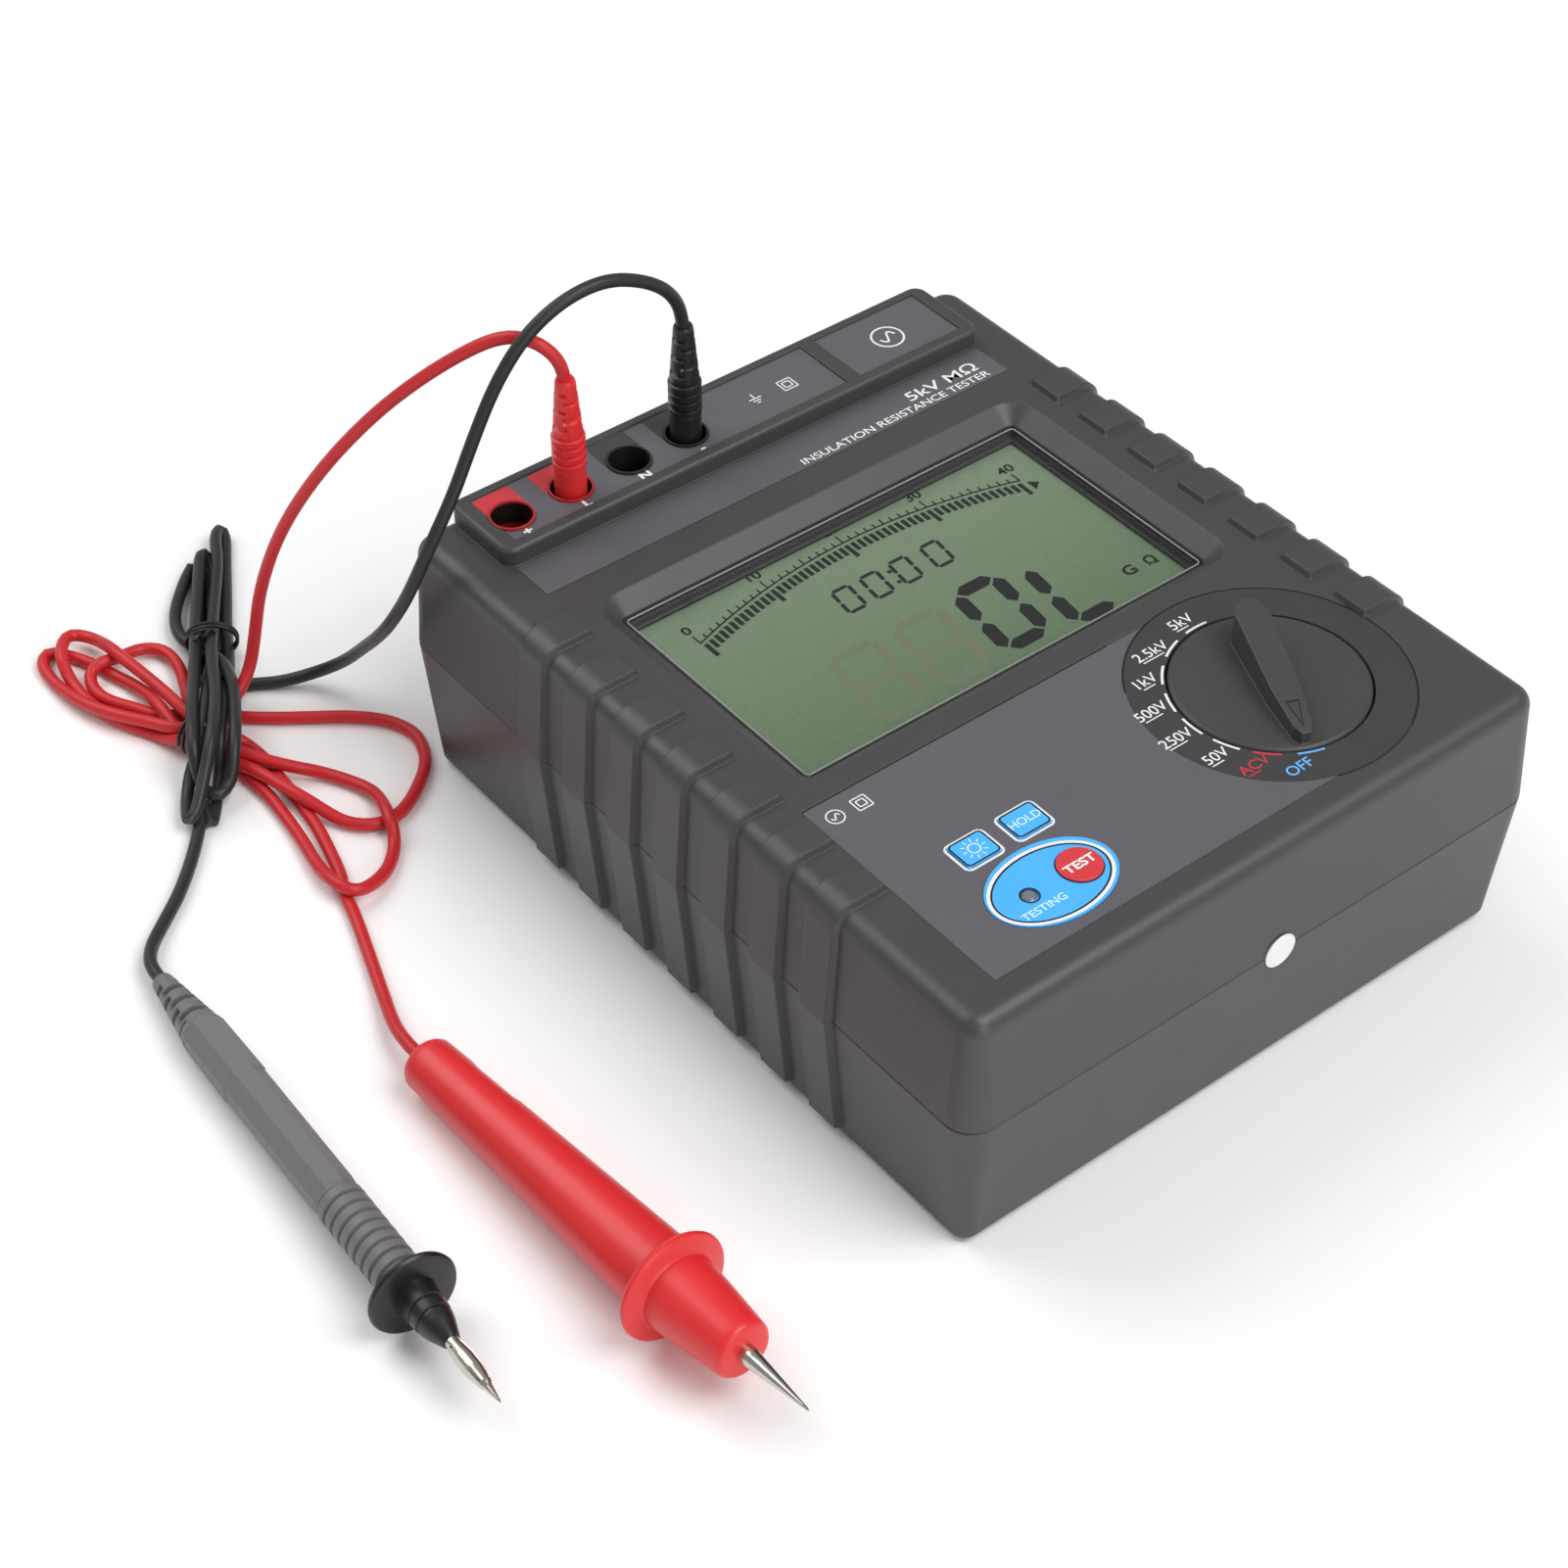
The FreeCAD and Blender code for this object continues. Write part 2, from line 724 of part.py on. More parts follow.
def make_panel_holes(body):
    """Holes for the sockets, the keys and the lamp."""
    jacks = posts(body, "jack_holes", bar_top, jack_places(), jack_sleeve + film_gap / 2, None)
    pocket(body, jacks, wall + 1.0)
    keys = new_sketch(body, "key_holes", offset=case_top)
    for centre in (light_key_x, hold_key_x):
        draw_key(keys, centre, key_gap)
    draw_circle(keys, test_key_x, test_key_y, test_key_radius + key_gap)
    draw_circle(keys, led_x, test_key_y, led_radius + film_gap)
    pocket(body, keys, wall + 1.0)


def draw_key(sketch, centre, spread):
    """The outline of a rectangular key, grown by spread."""
    half_x = key_width / 2 + spread
    half_y = key_depth / 2 + spread
    draw_rectangle(sketch, centre - half_x, centre + half_x, key_row - half_y, key_row + half_y)


def make_lower_case():
    """Bottom shell: tapered walls, battery bay, bosses, foot seats and ribs."""
    body = new_body("lower_case")
    rim = section(body, "lower_rim", parting_height, half_width, half_length, corner_round)
    tapered_pad(body, rim, parting_height - base_height, base_inset, downwards=True)
    dress(body, "Fillet", base_height, lies_at(base_height))
    dress(body, "Chamfer", seam_chamfer, lies_at(parting_height))
    deep = section(body, "lower_deep", floor_level, half_width - base_inset - wall,
                   half_length - base_inset - wall)
    wide = section(body, "lower_wide", parting_height, top_half_width - wall, top_half_length - wall)
    loft(body, [deep, wide], "lower_hollow", kind="SubtractiveLoft")
    bay = new_sketch(body, "bay_opening", offset=floor_level)
    draw_rectangle(bay, -bay_width / 2, bay_width / 2, -bay_length / 2, bay_length / 2)
    pocket(body, bay, wall)
    lip = new_sketch(body, "cover_seat", offset=base_height + cover_thickness)
    half_x = bay_width / 2 + bay_lip
    half_y = bay_length / 2 + bay_lip
    draw_rectangle(lip, -half_x, half_x, -half_y, half_y)
    pocket(body, lip, cover_thickness)
    seats = posts(body, "foot_seats", base_height + foot_seat, corners(foot_x, foot_y), foot_radius, None)
    pocket(body, seats, foot_seat)
    posts(body, "lower_bosses", floor_level - 1.0, corners(boss_x, boss_y), boss_radius,
          parting_height - floor_level + 1.0)
    holes = posts(body, "screw_holes", parting_height, corners(boss_x, boss_y), screw_radius + screw_slack, None)
    pocket(body, holes, parting_height - base_height)
    sinks = posts(body, "screw_sinks", base_height + head_sink, corners(boss_x, boss_y),
                  screw_head + screw_slack, None)
    pocket(body, sinks, head_sink)
    cover_holes = posts(body, "cover_pilots", floor_level, cover_screw_places(),
                        screw_radius + thread_gap, None)
    pocket(body, cover_holes, wall)
    add_ribs(body, upper=False)


def cover_screw_places():
    """The two screws of the battery cover, at the middle of its short sides."""
    reach = bay_length / 2 + bay_lip / 2
    return [(zero(), reach), (zero(), -reach)]


def screw(name, x, y, bottom, head_height, length):
    """A pan-head screw that points up: head below, shank above."""
    head = cylinder(name + "_head", x, y, bottom, bottom + head_height, screw_head)
    shank = cylinder(name + "_shank", x, y, bottom + head_height, bottom + head_height + length, screw_radius)
    return fuse(name, [head, shank])


def make_case_fittings():
    """Screws, feet, the battery cover and the round sticker on the front."""
    head = base_height + head_sink - screw_radius
    reach = parting_height + screw_bite - base_height - head_sink - 1.0
    group("case_screws", [
        screw("case_screw_%d" % index, x, y, head, screw_radius, reach)
        for index, (x, y) in enumerate(corners(boss_x, boss_y))
    ])
    group("rubber_feet", [
        cylinder("foot_%d" % index, x, y, zero(), base_height + foot_seat, foot_radius - film_gap)
        for index, (x, y) in enumerate(corners(foot_x, foot_y))
    ])
    body = new_body("battery_cover")
    outline = new_sketch(body, "cover_plan", offset=base_height)
    half_x = bay_width / 2 + bay_lip - cover_gap
    half_y = bay_length / 2 + bay_lip - cover_gap
    draw_rectangle(outline, -half_x, half_x, -half_y, half_y)
    pad(body, outline, cover_thickness)
    holes = posts(body, "cover_holes", base_height + cover_thickness, cover_screw_places(),
                  screw_radius + film_gap, None)
    pocket(body, holes, cover_thickness)
    sinks = posts(body, "cover_sinks", base_height + cover_thickness / 2, cover_screw_places(),
                  screw_head - screw_radius / 2 + film_gap, None)
    pocket(body, sinks, cover_thickness / 2)
    screws = []
    for index, (x, y) in enumerate(cover_screw_places()):
        name = "cover_screw_%d" % index
        head_part = cylinder(name + "_head", x, y, base_height + film_gap, base_height + cover_thickness / 2,
                             screw_head - screw_radius / 2)
        shank = cylinder(name + "_shank", x, y, base_height + cover_thickness / 2, floor_level, screw_radius)
        screws.append(fuse(name, [head_part, shank]))
    group("battery_cover_screws", screws)
    sticker = doc.addObject("Part::Cylinder", "round_sticker")
    bind(sticker, "Radius", sticker_radius)
    bind(sticker, "Height", label_thickness)
    place(sticker, sticker_x, 0.02 - half_length, parting_height, FreeCAD.Rotation(Vector(1, 0, 0), 90.0))
    keep(sticker, "round_sticker")


# ------------------------------------------------------------------ display and panels
def make_display():
    """Lens, glass, backlight, frame, connector strips and the board that carries them."""
    def lens(sketch):
        draw_rectangle(sketch, -lens_half_width, lens_half_width, lens_front, lens_back)

    body = plate("lcd_window", lens, lens_bottom, lens_thickness)
    dress(body, "Chamfer", lens_gap * 3.0, lies_at(well_bottom))
    glass_bottom = board_top + backlight_thickness
    inset = frame_wall + lens_gap

    def inner(sketch):
        draw_rectangle(sketch, inset - lens_half_width, lens_half_width - inset,
                       lens_front + inset, lens_back - inset)

    plate("lcd_glass", inner, glass_bottom, glass_thickness)
    strip_inset = inset + strip_width + lens_gap

    def light_guide(sketch):
        draw_rectangle(sketch, inset - lens_half_width, lens_half_width - inset,
                       lens_front + strip_inset, lens_back - strip_inset)

    plate("lcd_backlight", light_guide, board_top, backlight_thickness)

    def ring(sketch):
        draw_rectangle(sketch, -lens_half_width, lens_half_width, lens_front, lens_back)
        hole = frame_wall
        draw_rectangle(sketch, hole - lens_half_width, lens_half_width - hole,
                       lens_front + hole, lens_back - hole)

    plate("lcd_frame", ring, board_top, well_underside - board_top)
    strips = []
    for name, front in (("strip_front_row", lens_front + inset), ("strip_back_row", lens_back - inset - strip_width)):
        low = (inset * 4.0 - lens_half_width, front, board_top)
        high = (lens_half_width - inset * 4.0, front + strip_width, glass_bottom)
        strips.append(box(name, low, high))
    group("lcd_connector_strips", strips)

    board = new_body("display_board")
    outline = new_sketch(board, "display_board_plan", offset=board_bottom)
    draw_rectangle(outline, -post_x - spacer_radius, post_x + spacer_radius,
                   post_front - spacer_radius, post_back + spacer_radius)
    pad(board, outline, board_thickness)
    hole = posts(board, "display_board_hole", board_top, [(dial_x, dial_y)], shaft_radius + 1.0, None)
    pocket(board, hole, board_thickness)


def make_films():
    """The printed films of the panel, the title strip, the socket bar and the dial."""
    panel = plate("control_panel_overlay",
                  lambda sketch: draw_rectangle(sketch, panel_left + film_gap / 2, dial_x - film_gap,
                                                panel_front + film_gap / 2, panel_back),
                  case_top - panel_film, panel_film)
    around = posts(panel, "dial_opening", case_top, [(dial_x, dial_y)], dial_radius + film_gap, None)
    pocket(panel, around, panel_film)
    keys = new_sketch(panel, "panel_keys", offset=case_top)
    for centre in (light_key_x, hold_key_x):
        draw_key(keys, centre, key_gap)
    pocket(panel, keys, panel_film)
    seat = new_sketch(panel, "bezel_seat", offset=case_top)
    draw_oval(seat, film_gap)
    pocket(panel, seat, panel_film)

    bezel = plate("test_bezel", lambda sketch: draw_oval(sketch, zero()), case_top - panel_film,
                  panel_film + bezel_film)
    holes = new_sketch(bezel, "bezel_holes", offset=case_top + bezel_film)
    draw_circle(holes, test_key_x, test_key_y, test_key_radius + key_gap)
    draw_circle(holes, led_x, test_key_y, led_radius + film_gap)
    pocket(bezel, holes, panel_film + bezel_film)

    def dial(sketch):
        draw_circle(sketch, dial_x, dial_y, dial_radius)
        draw_circle(sketch, dial_x, dial_y, knob_radius + knob_gap)

    plate("dial_plate", dial, case_top - panel_film, panel_film)
    plate("title_strip",
          lambda sketch: draw_rectangle(sketch, film_gap - strip_half_width, strip_half_width - film_gap,
                                        strip_front + film_gap, strip_back - film_gap),
          case_top - panel_film, panel_film)
    for node, (left, right) in zip(("jack_panel_label", "symbol_label"), label_spans()):
        label = plate(node,
                      lambda sketch, a=left, b=right: draw_rectangle(
                          sketch, a + film_gap, b - film_gap, bar_front + bar_rim + film_gap,
                          bar_back - bar_edge - bar_rim / 2 - film_gap),
                      bar_top - label_recess, label_thickness)
        if node == "jack_panel_label":
            holes = posts(label, "label_jack_holes", bar_top - label_recess + label_thickness,
                          jack_places(), jack_sleeve + film_gap / 2, None)
            pocket(label, holes, label_thickness)


def draw_oval(sketch, spread):
    """The oval of the test bezel: two end arcs and two flat arcs drawn as one ellipse."""
    centre = Vector(number(bezel_x), number(bezel_y), 0)
    major = number(bezel_major + spread)
    minor = number(bezel_minor + spread)
    ellipse = Part.Ellipse(centre + Vector(major, 0, 0), centre + Vector(0, minor, 0), centre)
    curve = sketch.addGeometry(ellipse)
    pin_point(sketch, curve, 3, bezel_x, bezel_y)
    sketch.exposeInternalGeometry(curve)
    first = curve + 1
    pin_point(sketch, first, 1, bezel_x + bezel_major + spread, bezel_y)
    pin_end = sketch.addConstraint(Sketcher.Constraint("DistanceY", curve, 3, first + 1, 1, minor))
    sketch.setExpression("Constraints[%d]" % pin_end, (bezel_minor + spread).text)


# ------------------------------------------------------------------ range switch
def make_knob():
    """A flat disc with a tapering finger bar that slopes down to its pointer end."""
    body = new_body("range_knob")
    disc = new_sketch(body, "knob_disc", offset=zero())
    draw_circle(disc, 0.0, 0.0, knob_radius)
    pad(body, disc, knob_top - knob_base)
    dress(body, "Chamfer", knob_gap, lies_at(knob_top - knob_base))
    bar = new_sketch(body, "knob_bar", offset=zero() + 1.0)
    half_tail = grip_tail_width / 2
    half_nose = grip_nose_width / 2
    half_waist = grip_waist_width / 2
    outline = [
        (half_tail - grip_tail, -half_tail),
        (grip_waist, half_waist * -1.0),
        (grip_nose - half_nose, -half_nose),
        (grip_nose, -half_nose / 2),
        (grip_nose, half_nose / 2),
        (grip_nose - half_nose, half_nose),
        (grip_waist, half_waist),
        (half_tail - grip_tail, half_tail),
        (half_tail * 0.3 - grip_tail, half_tail * 0.7),
        (-grip_tail, half_tail * 0.25),
        (-grip_tail, half_tail * -0.25),
        (half_tail * 0.3 - grip_tail, half_tail * -0.7),
    ]
    draw_outline(bar, outline)
    pad(body, bar, knob_top - knob_base + grip_height - 1.0)
    wedge = new_sketch(body, "knob_slope", role="XZ_Plane", offset=-grip_tail_width)
    top = knob_top - knob_base + grip_height
    draw_outline(wedge, [
        (-grip_tail - 1.0, top),
        (grip_nose + 1.0, top - grip_drop),
        (grip_nose + 1.0, top + 1.0),
        (-grip_tail - 1.0, top + 1.0),
    ])
    pocket_through(body, wedge, grip_tail_width * 2.0)
    bore = new_sketch(body, "knob_bore", offset=shaft_bite)
    draw_circle(bore, 0.0, 0.0, shaft_radius)
    pocket(body, bore, shaft_bite)
    place(body, dial_x, dial_y, knob_base, FreeCAD.Rotation(Vector(0, 0, 1), number(knob_rest_angle)))


def pocket_through(body, sketch, length):
    """Cut a sideways sketch along whichever of its two directions meets the solid."""
    doc.recompute()
    before = body.Shape.Volume
    feature = body.newObject("PartDesign::Pocket", sketch.Name + "_pocket")
    feature.Profile = sketch
    bind(feature, "Length", length)
    doc.recompute()
    if not body.Shape.Volume < before - 1e-6:
        feature.Reversed = True
        doc.recompute()
    if not body.Shape.Volume < before - 1e-6:
        raise RuntimeError("nothing was cut by " + feature.Name)


def make_switch():
    """The rotary switch under the knob: housing, rotor, shaft and detent spring."""
    housing_top = board_top + switch_height
    cup_floor = board_top + switch_wall * 0.6
    housing = new_body("rotary_switch_body")
    shell = posts(housing, "switch_plan", board_top, [(dial_x, dial_y)], switch_radius, None)
    pad(housing, shell, switch_height)
    hollow = posts(housing, "switch_hollow", housing_top, [(dial_x, dial_y)], switch_radius - switch_wall, None)
    pocket(housing, hollow, housing_top - cup_floor)
    bearing = posts(housing, "switch_bearing", cup_floor, [(dial_x, dial_y)], shaft_radius + shaft_clearance, None)
    pocket(housing, bearing, cup_floor - board_top)

    shaft_bottom = board_top + 0.2
    shaft = cylinder("knob_shaft", dial_x, dial_y, shaft_bottom, knob_base + shaft_bite, shaft_radius)
    keep(shaft, "knob_shaft")
    rotor_bottom = cup_floor + 0.6
    disc = cylinder("rotor_disc", dial_x, dial_y, rotor_bottom, rotor_bottom + rotor_thickness, rotor_radius)
    hole = cylinder("rotor_hole", dial_x, dial_y, rotor_bottom - 1.0, rotor_bottom + rotor_thickness + 1.0,
                    shaft_radius)
    keep(cut("rotor_wiper", disc, hole), "rotor_wiper")
    reach = switch_radius - switch_wall
    low = (dial_x - 4.0, dial_y + rotor_radius + 0.5, cup_floor)
    high = (dial_x + 4.0, dial_y + reach - 0.6, housing_top - 1.0)
    keep(box("detent_spring", low, high), "detent_spring")


def make_keys():
    """Two rectangular keys, the round test key, their switches and the lamp."""
    foot = board_top + tact_height + key_travel + key_gap
    shelf = ceiling - panel_film - key_flange
    for node, centre in (("light_button", light_key_x), ("hold_button", hold_key_x)):
        body = new_body(node)
        cap = new_sketch(body, node + "_cap", offset=foot)
        draw_key(cap, centre, zero())
        pad(body, cap, case_top + key_proud - foot)
        dress(body, "Chamfer", key_gap, lies_at(case_top + key_proud))
        flange = new_sketch(body, node + "_flange", offset=shelf)
        draw_key(flange, centre, key_flange)
        pad(body, flange, key_flange)
    body = new_body("test_button")
    posts(body, "test_cap", foot, [(test_key_x, test_key_y)], test_key_radius,
          case_top + bezel_film + key_proud - foot)
    dress(body, "Fillet", key_gap, lies_at(case_top + bezel_film + key_proud))
    posts(body, "test_flange", shelf, [(test_key_x, test_key_y)], test_key_radius + key_flange, key_flange)
    switches = []
    for index, (x, y) in enumerate([(light_key_x, key_row), (hold_key_x, key_row), (test_key_x, test_key_y)]):
        half = tact_width / 2
        switches.append(box("key_switch_%d" % index, (x - half, y - half, board_top),
                            (x + half, y + half, board_top + tact_height)))
    group("key_switches", switches)
    lamp = turned("testing_led", [
        (zero(), zero()),
        (led_radius, zero()),
        (led_radius, case_top + bezel_film - board_top - led_radius / 4),
        (led_radius * 0.7, case_top + bezel_film - board_top),
        (zero(), case_top + bezel_film - board_top),
    ], at=(led_x, test_key_y, board_top))
    lamp.Label = "testing_led"


# ------------------------------------------------------------------ sockets, boards and batteries
def make_jacks():
    """Four shrouded sockets: two red sleeves, two black, each with a sprung brass contact."""
    places = jack_places()
    for node, chosen in (("red_jack_sleeves", places[:2]), ("black_jack_sleeves", places[2:])):
        sleeves = []
        for index, (x, y) in enumerate(chosen):
            name = "%s_%d" % (node, index)
            tube = cylinder(name + "_tube", x, y, jack_bottom, bar_top + film_gap, jack_sleeve)
            flange = cylinder(name + "_flange", x, y, bar_roof - 1.5, bar_roof, jack_flange)
            bore = cylinder(name + "_bore", x, y, jack_bottom + 1.5, bar_top + 1.0, jack_bore)
            hole = cylinder(name + "_hole", x, y, jack_bottom - 1.0, jack_bottom + 2.0, contact_bore + contact_wall)
            sleeves.append(cut(name, fuse(name + "_outer", [tube, flange]), fuse(name + "_inner", [bore, hole])))
        group(node, sleeves)
    contacts = []
    for index, (x, y) in enumerate(places):
        name = "jack_contact_%d" % index
        tube = cylinder(name + "_tube", x, y, jack_bottom, contact_top, contact_bore + contact_wall)
        stem = cylinder(name + "_stem", x, y, main_board_top, jack_bottom, contact_stem)
        bore = cylinder(name + "_bore", x, y, jack_bottom + 1.0, contact_top + 1.0, contact_bore)
        contacts.append(cut(name, fuse(name + "_outer", [tube, stem]), bore))
    group("jack_contacts", contacts)


def make_boards():
    """Main board on its spacers, with the high-voltage and logic parts."""
    board = (main_board_x, main_board_y)
    low = (-board[0], -board[1], main_board_height)
    high = (board[0], board[1], main_board_top)
    keep(box("main_board", low, high), "main_board")
    group("board_spacers", [
        cylinder("spacer_%d" % index, x, y, floor_level, main_board_height, spacer_radius)
        for index, (x, y) in enumerate(corners(spacer_x, spacer_y))
    ])
    base = main_board_top
    core = box("transformer_core", (zero() + 20.0, zero() - 20.0, base), (zero() + 62.0, zero() + 16.0, base + 16.0))
    coil = box("transformer_coil", (zero() + 27.0, zero() - 25.0, base + 3.0),
               (zero() + 55.0, zero() + 21.0, base + 18.0))
    keep(fuse("hv_transformer", [core, coil]), "hv_transformer")
    group("hv_capacitors", [
        cylinder("capacitor_%d" % index, zero() + 14.0 + 20.0 * index, zero() + 50.0, base, base + 17.0, zero() + 8.0)
        for index in range(3)
    ])
    group("processor_chips", [
        box("chip_%d" % index, (zero() + x, zero() + y, base), (zero() + x + wide, zero() + y + deep, base + 1.8))
        for index, (x, y, wide, deep) in enumerate([(-40, 20, 16, 16), (-12, 24, 10, 7), (-44, -40, 20, 10)])
    ])
    keep(cylinder("buzzer", zero() - 50.0, zero() + 62.0, base, base + 8.0, zero() + 9.0), "buzzer")
    keep(box("board_connector", (zero() - 66.0, zero() - 30.0, base), (zero() - 60.0, zero() + 20.0, board_bottom)),
         "board_connector")


def make_battery_bay():
    """Tray over the opening, eight cells in four columns, and their sprung contacts."""
    inner_x = bay_width / 2 + 1.0
    inner_y = bay_length / 2
    outer = box("tray_outer", (-inner_x - tray_wall, -inner_y - tray_wall, floor_level),
                (inner_x + tray_wall, inner_y + tray_wall, tray_top))
    hollow = box("tray_hollow", (-inner_x, -inner_y, floor_level - 1.0), (inner_x, inner_y, tray_top - tray_wall))
    keep(cut("battery_holder", outer, hollow), "battery_holder")
    axis_height = base_height + cover_thickness + cell_lift + cell_radius
    cells, contacts = [], []
    level = FreeCAD.Rotation(Vector(1, 0, 0), -90.0)
    for column in range(4):
        x = cell_pitch * (column - 1.5)
        for row in range(2):
            name = "cell_%d_%d" % (column, row)
            start = (cell_length + 0.4) * (row - 1.0) + 0.2
            cell = doc.addObject("Part::Cylinder", name)
            bind(cell, "Radius", cell_radius)
            bind(cell, "Height", cell_length)
            cells.append(place(cell, x, start, axis_height, level))
        for end, turn in ((1, 90.0), (-1, -90.0)):
            spring = doc.addObject("Part::Cone", "contact_%d_%d" % (column, end > 0))
            bind(spring, "Radius1", cell_radius / 2)
            bind(spring, "Radius2", cell_radius / 4)
            bind(spring, "Height", spring_depth)
            contacts.append(place(spring, x, inner_y * float(end), axis_height,
                                  FreeCAD.Rotation(Vector(1, 0, 0), turn)))
    group("batteries", cells)
    group("battery_contacts", contacts)


# ------------------------------------------------------------------ plugs
def make_plug(colour, place_x):
    """A shrouded 4 mm plug with its pin, seated in a socket, and a tapering sleeve for the lead."""
    bottom = bar_top - plug_reach
    high = bar_top + plug_height
    solid_from = bar_top + 1.0
    profile = [
        (plug_throat, bottom),
        (plug_shroud, bottom),
        (plug_shroud, bar_top + plug_grip_height / 2),
        (plug_grip, bar_top + plug_grip_height / 2 + 1.0),
        (plug_grip, bar_top + plug_grip_height),
        (plug_nose, high),
        (lead_radius + lead_fit, high),
        (lead_radius + lead_fit, high - lead_entry),
        (zero(), high - lead_entry),
        (zero(), solid_from + 14.0),
        (plug_core, solid_from + 14.0),
        (plug_core, solid_from),
        (plug_throat, solid_from),
    ]
    turned(colour + "_plug_body", profile, at=(place_x, jack_line, zero()))
    pin = cylinder(colour + "_plug_pin", place_x, jack_line, bottom + 1.5, solid_from + 14.0, pin_radius)
    keep(pin, colour + "_plug_pin")


# ------------------------------------------------------------------ leads
RED_UPPER = [
    (-51.3, 97.6, 114.6), (-51.3, 97.6, 121.1), (-53.5, 100.0, 126.7), (-57.4, 104.1, 130.0),
    (-62.0, 109.0, 130.0), (-68.1, 115.5, 125.2), (-77.6, 125.4, 114.6), (-87.4, 136.0, 100.6),
    (-98.0, 147.6, 81.0), (-106.8, 157.2, 59.5), (-112.2, 163.2, 38.0), (-114.6, 165.4, 21.0),
    (-118.0, 164.6, 10.6), (-124.6, 162.0, 5.6), (-132.6, 159.2, 4.6), (-140.0, 157.0, 4.6),
]
RED_LOWER = [
    (-141.5, 82.0, 1.9), (-144.3, 71.5, 1.9), (-149.2, 57.5, 1.9), (-154.6, 42.5, 2.6),
    (-159.4, 30.0, 5.0), (-161.15, 20.6, 6.97), (-161.0, 13.5, 7.5),
]
BLACK_UPPER = [
    (-13.3, 97.6, 114.6), (-13.3, 97.6, 122.0), (-16.9, 97.9, 130.4), (-25.0, 98.4, 137.0),
    (-36.4, 99.0, 141.8), (-49.2, 99.8, 140.6), (-61.0, 100.6, 134.2), (-70.6, 101.0, 123.0),
    (-78.6, 100.6, 109.6), (-87.2, 98.4, 97.2), (-96.4, 96.8, 86.2), (-102.4, 99.4, 71.8),
    (-103.6, 108.4, 56.6), (-100.8, 121.4, 41.6), (-97.4, 135.8, 26.6), (-96.8, 148.2, 13.0),
    (-101.2, 157.4, 5.0), (-109.8, 163.0, 2.1), (-117.6, 168.6, 1.9), (-124.0, 175.4, 3.4),
]
BLACK_LOWER = [
    (-152.4, 134.0, 3.4), (-158.4, 126.6, 2.1), (-166.6, 117.0, 1.9), (-176.4, 107.4, 1.9),
    (-185.6, 100.4, 1.9), (-192.6, 94.4, 2.8), (-196.8, 87.4, 4.6), (-197.5, 80.0, 5.0),
]


def lead_path(points):
    """Straight runs joined by tangent arcs, each arc as large as its two runs allow."""
    corners_at = [Vector(*point) for point in points]
    edges, radii = [], []
    here = corners_at[0]
    for before, corner, after in zip(corners_at, corners_at[1:], corners_at[2:]):
        inward = (before - corner).normalize()
        outward = (after - corner).normalize()
        turn = math.pi - inward.getAngle(outward)
        reach = 0.45 * min((before - corner).Length, (after - corner).Length)
        radius = reach / math.tan(turn / 2)
        radii.append(radius)
        start = corner + inward * reach
        end = corner + outward * reach
        bisector = (inward + outward).normalize()
        middle = corner + bisector * (radius / math.cos(turn / 2) - radius)
        edges.append(Part.LineSegment(here, start).toShape())
        edges.append(Part.Arc(start, middle, end).toShape())
        here = end
    edges.append(Part.LineSegment(here, corners_at[-1]).toShape())
    return Part.Wire(edges), radii


def make_lead(node, points):
    """A round tube along a route, with its volume checked against section times length."""
    path, radii = lead_path(points)
    start = Vector(*points[0])
    direction = Vector(*points[1]) - start
    radius = number(lead_radius)
    ring = Part.Wire(Part.makeCircle(radius, start, direction))
    tube = path.makePipeShell([ring], True, False)
    expected = math.pi * radius ** 2 * path.Length
    print("%s: %.0f mm long, least radius %.1f mm, volume ratio %.4f"
          % (node, path.Length, min(radii), tube.Volume / expected))
    if abs(tube.Volume / expected - 1.0) > 0.02:
        raise RuntimeError(node + " has the wrong volume")
    item = doc.addObject("Part::Feature", node)
    item.Shape = tube
    item.Placement = FreeCAD.Placement()
    return keep(item, node)


RED_HANK_OUTLINE = [
    (-142.2, 165.6), (-136.0, 176.0), (-128.0, 188.0), (-129.5, 199.0), (-139.5, 206.5), (-146.5, 217.5),
    (-156.5, 216.5), (-162.0, 204.0), (-158.5, 184.0), (-154.0, 170.0), (-152.2, 160.4), (-145.6, 142.0),
    (-143.8, 125.0), (-146.6, 105.0), (-147.0, 88.0), (-141.0, 75.0), (-129.0, 74.6), (-116.4, 85.0),
    (-111.0, 96.0), (-100.0, 100.0), (-92.8, 111.0), (-91.6, 127.0), (-100.0, 141.0), (-114.0, 151.5),
    (-127.0, 157.6), (-136.0, 158.6),
]


def make_red_hank():
    """The loosely tied red bundle: two lobes behind its tie and two in front, one closed solid."""
    curve = Part.BSplineCurve()
    curve.interpolate(Points=[Vector(x, y, 0) for x, y in RED_HANK_OUTLINE], PeriodicFlag=True)
    face = Part.Face(Part.Wire(curve.toShape()))
    item = doc.addObject("Part::Feature", "red_lead_hank")
    item.Shape = face.extrude(Vector(0, 0, number(hank_height)))
    item.Placement = FreeCAD.Placement(Vector(0, 0, number(hank_lift)), FreeCAD.Rotation())
    keep(item, "red_lead_hank")



